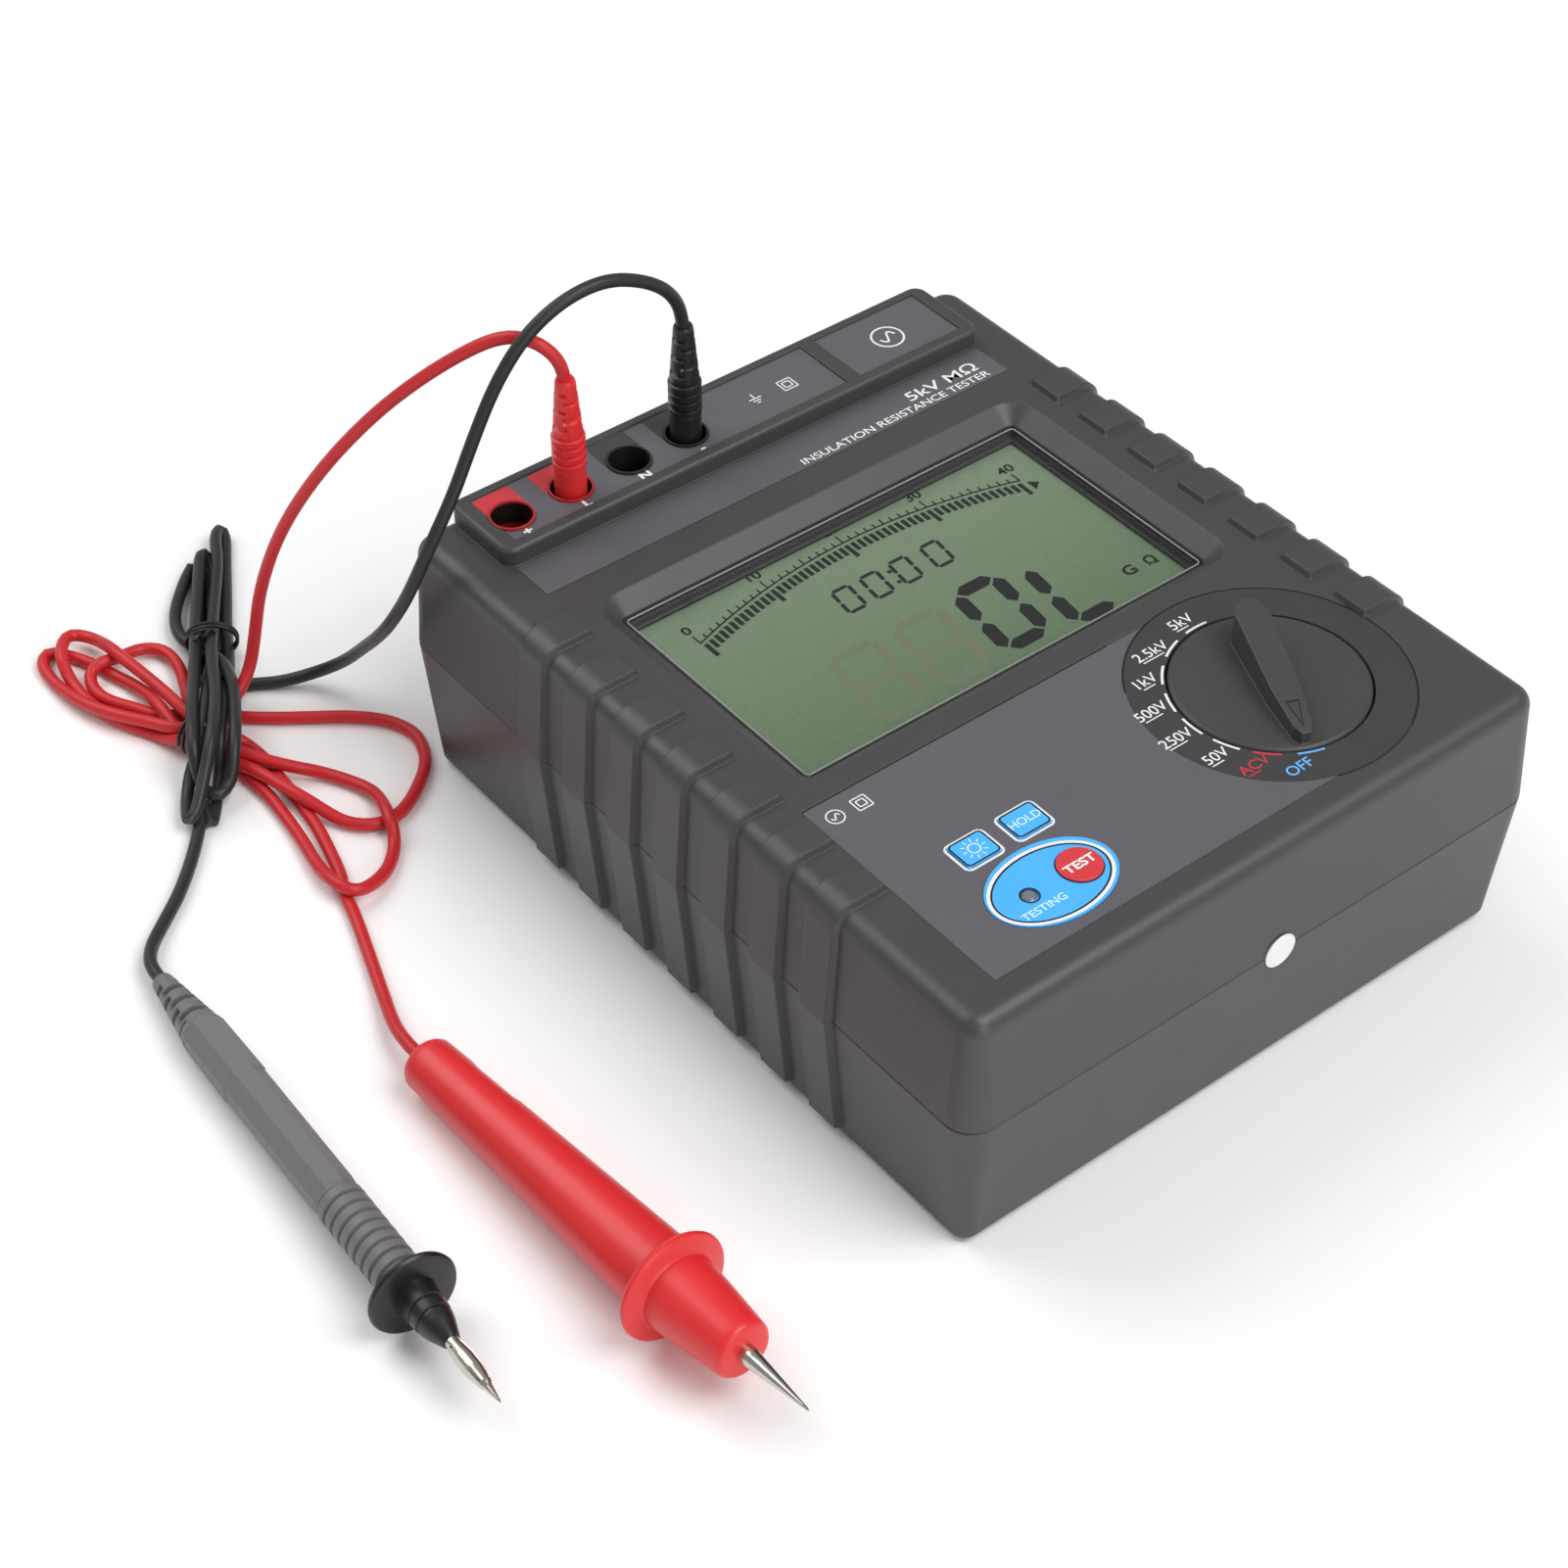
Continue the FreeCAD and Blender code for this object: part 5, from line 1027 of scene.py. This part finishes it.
@dataclass
class RedProbe:
    """The stout red probe: tapered handle, finger guard, short nose and a steel needle."""

    rear: tuple[float, float, float] = (-161.0, 13.5, 7.5)

    def profile(self) -> list:
        """Heights and radii of the handle from its rounded rear to its nose."""
        rear = [(0.0, 2.2), (0.0, 4.6), (0.35, 5.9), (1.1, 6.8), (2.2, 7.35)]
        guard = [(98.2, 10.3), (98.9, 10.8), (99.3, 13.6), (99.7, 14.6), (100.4, 15.0), (101.2, 14.8),
                 (101.8, 14.0), (102.1, 11.4), (103.0, 10.3)]
        nose = [(112.0, 9.4), (124.6, 7.95), (126.2, 7.7), (127.0, 7.1), (127.3, 6.2), (127.3, 2.55)]
        return refined(rear + guard + nose, 2.5)

    def patch(self, heights: np.ndarray, angles: np.ndarray, radii: np.ndarray) -> np.ndarray:
        """Sink a rounded thumb patch by 0.28 mm into the upper outer side near the rear."""
        along = np.abs(heights - 22.0) / 9.5
        around = np.abs((angles - math.radians(205.0) + math.pi) % (2.0 * math.pi) - math.pi) / 0.42
        return radii - 0.28 * ((along ** 6 + around ** 6) < 1.0)

    def build(self) -> tuple[bpy.types.Object, bpy.types.Object]:
        """Make the handle and the needle."""
        turned = Turned(self.rear, Axis.RED_PROBE, 96)
        handle = turned.build("red_probe_grip", self.profile(), RED_PVC, ROOT, self.patch)
        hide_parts("red_probe_handle")
        needle = turned.build("red_probe_steel_needle", refined([
            (120.0, 2.45), (129.5, 2.45), (130.3, 2.3), (149.3, 0.32), (149.8, 0.1)], 2.0), NICKEL)
        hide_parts("red_probe_needle")
        return handle, needle


@dataclass
class GreyProbe:
    """The slim probe: slotted boot, facetted handle, ringed grip, black guard and nose, sprung tip."""

    rear: tuple[float, float, float] = (-197.5, 80.0, 5.0)

    def handle_profile(self) -> list:
        """Heights and radii from the boot to the guard."""
        points = [(0.0, 1.85), (0.0, 2.6), (0.8, 2.9), (22.0, 5.5), (23.4, 5.9), (46.0, 6.2), (46.4, 5.9),
                  (90.0, 5.95), (93.5, 5.75)]
        rings = 9
        pitch = (127.4 - 94.2) / rings
        for ring in range(rings):
            start = 94.2 + ring * pitch
            end = start + pitch
            points += [(start, 5.4), (start + 0.3, 6.15), (end - 1.0, 6.2), (end - 0.7, 5.4)]
        points += [(127.6, 5.6), (128.1, 5.6)]
        return refined(points, 0.4)

    def relief(self, heights: np.ndarray, angles: np.ndarray, radii: np.ndarray) -> np.ndarray:
        """Slots in the boot, eight soft facets on the handle."""
        row = (heights - 3.0) / 2.9
        slot = (np.abs(row - np.floor(row) - 0.5) < 0.26) & (heights > 3.0) & (heights < 21.5)
        slot = slot & (np.cos(angles * 2.0 + np.floor(row) * math.pi) > -0.3)
        facet = (heights > 23.4) & (heights < 93.0)
        fold = (angles + math.pi / 8.0) % (math.pi / 4.0) - math.pi / 8.0
        flat = math.cos(math.pi / 8.0) / np.cos(fold)
        return np.where(facet, radii * (1.03 * flat), radii) - np.where(slot, 1.5, 0.0)

    def tip_relief(self, heights: np.ndarray, angles: np.ndarray, radii: np.ndarray) -> np.ndarray:
        """Four leaves of the sprung tip, with slits between them where it swells."""
        swell = (heights > 148.5) & (heights < 161.5)
        slit = np.abs(np.cos(angles * 2.0)) < 0.28
        return radii - np.where(swell & slit, 0.75, 0.0)

    def build(self) -> list[bpy.types.Object]:
        """Make the handle, the nose with its guard, and the tip."""
        turned = Turned(self.rear, Axis.GREY_PROBE, 96)
        handle = turned.build("grey_probe_grip", self.handle_profile(), GREY_TPE, ROOT, self.relief)
        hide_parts("grey_probe_handle")
        nose = turned.build("black_probe_front", refined([
            (128.1, 5.2), (128.1, 11.0), (128.5, 11.55), (129.2, 11.7), (129.9, 11.3), (130.2, 10.2),
            (130.4, 5.6), (132.0, 5.3), (135.2, 5.2), (135.5, 4.6), (136.2, 4.6), (136.5, 5.0), (138.6, 4.8),
            (138.9, 4.2), (139.6, 4.2), (139.9, 4.6), (142.0, 4.1), (146.2, 2.6), (146.9, 2.3), (146.9, 1.9)],
            1.0), BLACK_PVC)
        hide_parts("black_probe_nose")
        tip = turned.build("sprung_probe_tip", refined([
            (139.0, 1.85), (148.0, 1.85), (149.5, 2.05), (152.5, 2.45), (157.0, 2.45), (160.0, 1.95),
            (162.4, 1.6), (163.0, 1.2), (168.2, 0.3), (168.8, 0.08)], 0.7), NICKEL, ROOT, self.tip_relief)
        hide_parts("probe_lantern_tip")
        return [handle, nose, tip]


# ---------------------------------------------------------------- leads
# A run in or out holds control points of the lead's curve. LOOPS and FOLDS hold places that it passes
# inside the tied bundle. All are in millimetres.
RED_RUN_IN = [
    (-51.3, 97.6, 114.6), (-51.3, 97.6, 121.1), (-53.5, 100.0, 126.7), (-57.4, 104.1, 130.0),
    (-62.0, 109.0, 130.0), (-68.1, 115.5, 125.2), (-77.6, 125.4, 114.6), (-87.4, 136.0, 100.6),
    (-98.0, 147.6, 81.0), (-106.8, 157.2, 59.5), (-112.2, 163.2, 38.0), (-114.6, 165.4, 21.0),
    (-118.0, 164.6, 10.6), (-124.6, 162.0, 5.6), (-132.6, 159.2, 4.6), (-139.5, 157.6, 4.6),
]
RED_LOOPS = [
    (-137.5, 156.0, 5.5), (-145.0, 160.0, 5.5), (-149.0, 167.5, 5.0), (-153.5, 175.5, 5.0),
    (-157.0, 186.0, 4.0), (-158.5, 199.0, 2.2), (-158.5, 208.0, 1.9), (-157.0, 213.0, 1.9),
    (-153.5, 215.0, 1.9), (-149.0, 209.0, 1.9), (-146.0, 202.0, 1.9), (-144.0, 194.0, 1.9),
    (-142.5, 183.5, 2.5), (-143.5, 171.0, 4.0), (-144.0, 159.0, 5.0), (-142.0, 149.0, 4.5),
    (-137.5, 137.0, 5.0), (-135.5, 130.0, 5.0), (-133.5, 118.5, 5.0), (-130.5, 110.0, 3.0),
    (-127.5, 103.5, 1.9), (-123.5, 99.0, 1.9), (-118.5, 97.0, 1.9), (-112.0, 98.0, 1.9),
    (-104.5, 102.5, 1.9), (-96.5, 110.0, 1.9), (-92.5, 119.5, 1.9), (-93.5, 127.0, 1.9), (-97.0, 133.0, 1.9),
    (-103.0, 139.0, 1.9), (-110.5, 144.5, 1.9), (-119.5, 151.0, 1.9), (-127.0, 157.0, 1.9),
    (-133.5, 163.0, 1.9), (-144.0, 171.5, 1.9), (-149.0, 179.0, 1.9), (-153.0, 185.5, 1.9),
    (-154.5, 191.0, 1.9), (-153.5, 196.0, 1.9), (-151.0, 199.0, 3.0), (-147.5, 199.0, 4.0),
    (-141.5, 199.5, 3.0), (-134.0, 199.5, 1.9), (-129.5, 194.5, 1.9), (-129.5, 186.5, 1.9),
    (-132.0, 178.0, 1.9), (-135.5, 168.5, 2.5), (-138.0, 159.0, 1.9), (-139.5, 149.0, 1.9),
    (-139.5, 138.5, 2.5), (-138.5, 128.0, 3.0), (-139.0, 117.0, 3.0), (-140.5, 104.5, 3.2),
    (-143.0, 91.5, 4.0), (-143.5, 81.5, 5.5), (-140.5, 77.0, 4.5), (-134.0, 78.0, 3.0), (-127.0, 82.0, 1.9),
    (-121.0, 88.5, 2.2), (-118.5, 94.5, 5.5), (-115.5, 106.0, 3.5), (-117.5, 115.0, 2.5),
    (-122.5, 123.5, 2.5), (-128.0, 128.0, 4.0), (-133.5, 133.5, 5.5), (-137.5, 139.5, 6.5),
    (-142.0, 146.5, 8.5), (-145.0, 156.0, 5.5), (-147.5, 165.5, 2.0), (-151.5, 173.0, 1.9),
    (-155.0, 182.0, 1.9), (-156.5, 192.5, 1.9), (-156.5, 201.0, 2.8), (-155.5, 206.5, 5.5),
    (-151.5, 213.0, 4.5), (-147.5, 214.5, 3.5), (-144.0, 209.0, 3.2), (-144.0, 197.5, 6.0),
    (-142.5, 186.0, 6.5), (-141.0, 174.5, 6.5), (-141.0, 162.0, 8.5), (-139.5, 151.5, 10.0),
    (-135.5, 149.0, 7.0), (-132.0, 146.0, 3.5), (-130.5, 139.5, 1.9), (-131.0, 130.5, 1.9),
    (-132.0, 120.5, 1.9), (-133.5, 108.5, 1.9), (-136.0, 97.5, 1.9), (-139.0, 87.0, 1.9),
]
RED_RUN_OUT = [
    (-141.5, 82.0, 1.9), (-144.3, 71.5, 1.9), (-149.2, 57.5, 1.9), (-154.6, 42.5, 2.6), (-159.4, 30.0, 5.0),
    (-161.15, 20.6, 6.97), (-161.0, 13.5, 7.5), (-160.37, -16.41, 9.77), (-159.11, -76.22, 14.3),
]
BLACK_RUN_IN = [
    (-13.3, 97.6, 114.6), (-13.3, 97.6, 122.0), (-16.9, 97.9, 130.4), (-25.0, 98.4, 137.0),
    (-36.4, 99.0, 141.8), (-49.2, 99.8, 140.6), (-61.0, 100.6, 134.2), (-70.6, 101.0, 123.0),
    (-78.6, 100.6, 109.6), (-87.2, 98.4, 97.2), (-96.4, 96.8, 86.2), (-102.4, 99.4, 71.8),
    (-103.6, 108.4, 56.6), (-100.8, 121.4, 41.6), (-97.4, 135.8, 26.6), (-96.8, 148.2, 13.0),
    (-101.2, 157.4, 5.0), (-109.8, 163.0, 2.1), (-117.6, 168.6, 1.9),
]
BLACK_FOLDS = [
    (-123.5, 171.5, 2.0), (-126.0, 175.5, 2.0), (-125.0, 182.0, 2.0), (-120.5, 190.5, 2.0),
    (-115.5, 198.5, 2.0), (-108.5, 210.0, 2.0), (-103.5, 218.5, 2.0), (-102.0, 223.0, 2.0),
    (-105.0, 220.0, 2.0), (-110.0, 215.0, 2.0), (-115.5, 209.0, 2.0), (-120.0, 202.5, 2.0),
    (-122.5, 196.0, 2.0), (-122.5, 190.0, 2.0), (-121.5, 185.0, 3.0), (-122.0, 178.5, 5.0),
    (-124.0, 170.0, 7.5), (-128.5, 158.5, 10.5), (-134.5, 146.5, 13.0), (-139.0, 139.0, 12.0),
    (-142.5, 134.5, 8.0), (-145.5, 132.5, 4.0), (-150.0, 131.0, 3.5), (-151.0, 136.0, 3.5),
    (-150.0, 139.5, 7.0), (-148.0, 143.5, 12.0), (-144.0, 150.0, 14.0), (-137.5, 161.0, 12.0),
    (-130.0, 173.5, 8.5), (-123.0, 185.0, 6.0), (-117.5, 194.5, 5.6), (-110.5, 206.0, 5.6),
    (-104.5, 215.5, 5.6), (-100.5, 221.5, 5.4), (-98.0, 223.5, 4.0), (-99.0, 219.5, 2.0),
    (-106.0, 208.0, 2.0), (-113.0, 196.5, 2.0), (-119.0, 187.5, 2.0), (-127.0, 176.0, 5.0),
    (-135.0, 162.0, 10.0), (-141.0, 152.5, 11.0), (-146.5, 144.5, 10.5), (-151.0, 141.5, 6.0),
    (-155.0, 136.5, 3.0), (-158.0, 131.0, 2.5), (-159.5, 126.5, 3.0), (-157.0, 127.0, 4.0),
    (-153.0, 130.5, 7.0), (-148.5, 135.0, 11.0), (-144.5, 139.0, 15.0), (-139.0, 146.5, 15.5),
    (-131.5, 159.5, 11.5), (-126.0, 170.0, 8.5), (-120.5, 180.0, 6.0), (-115.5, 189.0, 5.6),
    (-107.0, 203.0, 5.6), (-98.5, 216.5, 5.6), (-93.0, 226.5, 5.2), (-89.0, 231.5, 4.0), (-88.5, 229.5, 2.5),
    (-94.5, 219.0, 2.0), (-102.5, 205.0, 2.0), (-109.0, 193.5, 2.0), (-113.5, 184.5, 3.0),
    (-118.0, 175.5, 4.0), (-124.0, 165.5, 7.0), (-130.5, 155.0, 10.5), (-137.5, 146.0, 11.5),
    (-141.5, 141.5, 8.0), (-145.0, 138.5, 3.0), (-151.0, 132.0, 2.0), (-157.0, 126.0, 2.0),
]
BLACK_RUN_OUT = [
    (-152.4, 134.0, 4.0), (-158.4, 126.6, 2.1), (-166.6, 117.0, 1.9), (-176.4, 107.4, 1.9),
    (-185.6, 100.4, 1.9), (-192.6, 94.4, 2.8), (-196.8, 87.4, 4.6),
    (-197.5, 80.0, 5.0), (-199.4, 50.1, 6.56), (-204.49, -29.63, 10.71),
]


def through(before: tuple, passed: list, after: tuple) -> list:
    """Control points of a quadratic spline that passes given points.

    Args:
        before: the control point that comes before them.
        passed: the points to pass.
        after: the control point that comes after them.

    Returns:
        As many control points C as points P, from C[i - 1] + 6 C[i] + C[i + 1] = 8 P[i].
    """
    count = len(passed)
    weights = 6.0 * np.eye(count) + np.eye(count, k=1) + np.eye(count, k=-1)
    totals = 8.0 * np.array(passed)
    totals[0] -= before
    totals[-1] -= after
    return np.linalg.solve(weights, totals).tolist()


@dataclass
class Lead:
    """A round flexible test lead along a route of points."""

    name: str
    plug_body: str
    route: list
    finish: Finish
    diameter: float = 3.6
    spacing: float = 2.0

    def spline_points(self) -> np.ndarray:
        """Evenly spaced points of the smooth curve through the route, in millimetres."""
        curve = bpy.data.curves.new(self.name + "_route", "CURVE")
        curve.dimensions = "3D"
        spline = curve.splines.new("NURBS")
        spline.points.add(len(self.route) - 1)
        flat = np.column_stack([np.array(self.route) * MM, np.ones(len(self.route))])
        spline.points.foreach_set("co", flat.ravel())
        spline.order_u = 3
        spline.use_endpoint_u = True
        spline.resolution_u = 16
        points, _ = drawn(curve)
        return evenly(points / MM, self.spacing)

    def build(self, path: np.ndarray, pieces: list, sides: int = 16) -> bpy.types.Object:
        """Args:
            path: (n, 3) centres in millimetres.
            pieces: what is on the lead; not used.
            sides: points in a ring.

        Returns:
            The lead's object.
        """
        points = tube_points(path, self.diameter / 2.0, sides)
        made = put_mesh(self.name, points, capped_faces(len(path), sides), self.finish, None)
        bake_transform(made)
        return made


def evenly(points: np.ndarray, spacing: float) -> np.ndarray:
    """Points at equal steps along a line, by interpolating over its running length."""
    steps = np.linalg.norm(np.diff(points, axis=0), axis=1)
    run = np.concatenate([[0.0], np.cumsum(steps)])
    count = max(2, int(round(run[-1] / spacing)) + 1)
    wanted = np.linspace(0.0, run[-1], count)
    return np.stack([np.interp(wanted, run, points[:, axis]) for axis in range(3)], -1)


@dataclass
class Settling:
    """Lays leads down: they sink under their weight and rest on the floor and on each other."""

    diameter: float = 3.6
    rounds: int = 300
    sink: float = 0.06
    hold: float = 0.03
    smoothing: int = 3
    ease: int = 14

    def freedom(self, path: np.ndarray, held: tuple[int, int]) -> np.ndarray:
        """How freely each point of a path moves: none at the held ends, all in between, eased over a run."""
        order = np.arange(len(path))
        near = np.minimum(order - held[0], len(path) - held[1] - order) / self.ease
        return np.clip(near, 0.0, 1.0)

    def settle(self, paths: list[np.ndarray], held: list[tuple[int, int]]) -> list[np.ndarray]:
        """Relax the paths together.

        Args:
            paths: lists of centres, in millimetres.
            held: per path, how many points at its two ends stay where they are.

        Returns:
            The settled paths. Each round adds to a point's shift a step down, a share of the way back
            across the floor and half of what it lacks to be a diameter from other strands. The shifts,
            not the places, are then averaged with their neighbours' as 1 : 2 : 1, so a lead keeps its bends
            and takes no kinks.
        """
        first = np.concatenate(paths)
        shift = np.zeros_like(first)
        free = np.concatenate([self.freedom(path, ends) for path, ends in zip(paths, held)])[:, None]
        label = np.repeat(np.arange(len(paths)), [len(path) for path in paths])
        order = np.concatenate([np.arange(len(path)) for path in paths])
        last = np.concatenate([np.full(len(path), len(path) - 1) for path in paths])
        same = (label[:, None] == label[None, :]) & (np.abs(order[:, None] - order[None, :]) < 5)
        inside = np.flatnonzero((order > 0) & (order < last))
        low = np.minimum(first[:, 2], self.diameter / 2.0 + 0.05)
        for step in range(self.rounds):
            cooling = max(0.0, 1.0 - step / (0.8 * self.rounds))
            shift[:, 2] -= self.sink * cooling
            shift[:, :2] *= 1.0 - self.hold * cooling
            shift += self.parting(first + shift, same)
            shift *= np.where(free > 0.0, 1.0, 0.0)
            for _ in range(self.smoothing):
                shift[inside] = (shift[inside - 1] + 2.0 * shift[inside] + shift[inside + 1]) / 4.0
            shift *= np.where(free > 0.0, 1.0 - 0.2 * (1.0 - free), 0.0)
            shift[:, 2] = np.maximum(shift[:, 2], low - first[:, 2])
        place = first + shift
        LOG.info("settled %d points; %.2f mm is the deepest press", len(place), self.deepest(place, same))
        return [place[label == index] for index in range(len(paths))]

    def deepest(self, place: np.ndarray, same: np.ndarray) -> float:
        """How far the two nearest strands press into each other."""
        distance = np.linalg.norm(place[:, None] - place[None, :], axis=-1)
        return float(self.diameter - np.min(np.where(same, 99.0, distance)))

    def parting(self, place: np.ndarray, same: np.ndarray) -> np.ndarray:
        """The push on each point from strands nearer than a diameter, by half of what is missing."""
        gap = place[:, None] - place[None, :]
        distance = np.linalg.norm(gap, axis=-1)
        first, second = np.nonzero((distance < self.diameter * 1.04) & ~same)
        total = np.zeros_like(place)
        count = np.zeros(len(place))
        if len(first):
            away = gap[first, second]
            away[:, 2] += np.where(away[:, 2] >= 0.0, 0.1, -0.1)
            short = (self.diameter * 1.04 - distance[first, second]) / 2.0
            np.add.at(total, first, unit(away) * short[:, None])
            np.add.at(count, first, 1.0)
        return total / np.maximum(np.sqrt(count), 1.0)[:, None]


@dataclass
class TwistTie:
    """A wire tie: a little over two turns round a bundle and a short twisted tail."""

    name: str
    centre: tuple[float, float, float]
    along: tuple[float, float]
    half_width: float
    half_height: float
    replaced: str
    wire: float = 1.1

    def build(self) -> bpy.types.Object:
        """Make the tie as one wire: an oval helix round the bundle, then a small twisted tail."""
        angles = np.linspace(0.0, 4.6 * math.pi, 120)
        forward = np.array([*self.along, 0.0]) / math.hypot(*self.along)
        side = np.array([forward[1], -forward[0], 0.0])
        up = np.array([0.0, 0.0, 1.0])
        slide = (angles / angles[-1] - 0.5) * 3.4
        ring = (np.array(self.centre) + np.cos(angles)[:, None] * side * self.half_width
                + np.sin(angles)[:, None] * up * self.half_height + slide[:, None] * forward)
        tail_turn = np.linspace(0.0, 5.0 * math.pi, 50)
        reach = np.linspace(0.0, 8.0, 50)
        tail = (ring[-1] + reach[:, None] * unit(side * 0.8 + forward * 0.5 + up * 0.1)
                + 0.55 * (np.cos(tail_turn)[:, None] * up + np.sin(tail_turn)[:, None] * forward))
        path = np.concatenate([ring, tail[3:]])
        path[:, 2] = np.maximum(path[:, 2], self.wire / 2.0 + 0.05)
        points = tube_points(path, self.wire / 2.0, 8)
        made = put_mesh(self.name, points, capped_faces(len(path), 8), TIE_WIRE)
        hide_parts(self.replaced)
        return made


@dataclass
class Studio:
    """Pale floor, soft lights and the camera."""

    lens_mm: float = 76.07
    place_mm: tuple[float, float, float] = (-436.64, -479.02, 621.50)
    turn_degrees: tuple[float, float, float] = (47.0393, 0.1819, -38.2954)
    shift: tuple[float, float] = (0.00706, -0.00239)
    sky_strength: float = 0.36

    def build(self) -> None:
        """Set the floor, the world, the lamps and the camera."""
        self.floor()
        self.world()
        for name, place, size, power, target in (
                ("key_softbox", (0.5, -1.0, 1.9), 1.3, 27.0, (0.0, 0.0, 0.05)),
                ("back_softbox", (-0.5, 1.4, 1.7), 1.6, 20.0, (0.0, 0.1, 0.05)),
                ("front_softbox", (-0.2, -2.2, 0.9), 1.2, 12.0, (0.0, 0.0, 0.04))):
            self.lamp(name, place, size, power, target)
        data = bpy.data.cameras.new("camera")
        data.lens = self.lens_mm
        data.sensor_width = 36.0
        data.shift_x, data.shift_y = self.shift
        data.clip_start, data.clip_end = 0.01, 50.0
        camera = bpy.data.objects.new("camera", data)
        camera.location = Vector(self.place_mm) * MM
        camera.rotation_euler = Euler([math.radians(value) for value in self.turn_degrees])
        bpy.context.scene.collection.objects.link(camera)
        bpy.context.scene.camera = camera
        bpy.context.scene.view_settings.view_transform = "Standard"

    def floor(self) -> None:
        """A wide flat sheet under everything."""
        mesh = bpy.data.meshes.new("floor")
        mesh.from_pydata([(-6, -6, 0), (6, -6, 0), (6, 6, 0), (-6, 6, 0)], [], [(0, 1, 2, 3)])
        mesh.materials.append(FLOOR.material())
        floor = bpy.data.objects.new("floor", mesh)
        bpy.context.scene.collection.objects.link(floor)

    def world(self) -> None:
        """Even white surroundings."""
        world = bpy.data.worlds.new("studio")
        bpy.context.scene.world = world
        world.use_nodes = True
        sky = world.node_tree.nodes["Background"]
        sky.inputs["Color"].default_value = (1.0, 1.0, 1.0, 1.0)
        sky.inputs["Strength"].default_value = self.sky_strength

    def lamp(self, name: str, place: tuple, size: float, power: float, target: tuple) -> None:
        """A square area light that faces a point."""
        data = bpy.data.lights.new(name, "AREA")
        data.size = size
        data.energy = power
        made = bpy.data.objects.new(name, data)
        made.location = place
        made.rotation_euler = (Vector(target) - Vector(place)).to_track_quat("-Z", "Y").to_euler()
        bpy.context.scene.collection.objects.link(made)


def dress_frame() -> None:
    """Give every CAD node its finish."""
    for finish, nodes in CAD_FINISHES.items():
        finish.dress(*nodes)
    dressed = {name for nodes in CAD_FINISHES.values() for name in nodes}
    LOG.info("dressed %d of %d nodes", len(dressed), len(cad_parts))


def build_leads() -> None:
    """Plugs, probes, leads and ties."""
    red_plug = Plug("red_plug", -51.3, RED_PVC).build()
    black_plug = Plug("black_plug", -13.3, BLACK_PVC).build()
    red_probe = RedProbe().build()
    grey_probe = GreyProbe().build()
    red_coil = through(RED_RUN_IN[-1], RED_LOOPS, RED_RUN_OUT[0])
    black_coil = through(BLACK_RUN_IN[-1], BLACK_FOLDS, BLACK_RUN_OUT[0])
    red = Lead("red_lead", "red_plug", RED_RUN_IN + red_coil + RED_RUN_OUT, RED_JACKET)
    black = Lead("black_lead", "black_plug", BLACK_RUN_IN + black_coil + BLACK_RUN_OUT, BLACK_JACKET)
    paths = Settling().settle([red.spline_points(), black.spline_points()], [(92, 96), (116, 92)])
    red_tie = TwistTie("red_lead_twist", (-140.6, 155.0, 6.4), (0.35, -0.94), 7.6, 6.2,
                       "red_lead_tie").build()
    black_tie = TwistTie("black_lead_twist", (-117.4, 187.2, 5.6), (-0.528, -0.849), 7.2, 5.4,
                         "black_lead_tie").build()
    red_tube = red.build(paths[0], [red_plug, *red_probe, red_tie])
    black_tube = black.build(paths[1], [black_plug, *grey_probe, black_tie])
    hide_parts("red_lead_upper", "red_lead_hank", "red_lead_lower")
    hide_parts("black_lead_upper", "black_lead_hank", "black_lead_lower")


def main() -> None:
    """Dress the frame, build every sub-assembly and set the studio."""
    dress_frame()
    for part in (Dial(), KnobPointer(), ControlPanel(), TitleStrip(), SocketBar(), Display()):
        part.build()
        LOG.info("built %s", type(part).__name__)
    build_leads()
    Studio().build()


if __name__ == "__main__":
    logging.basicConfig(level=logging.INFO)
    main()
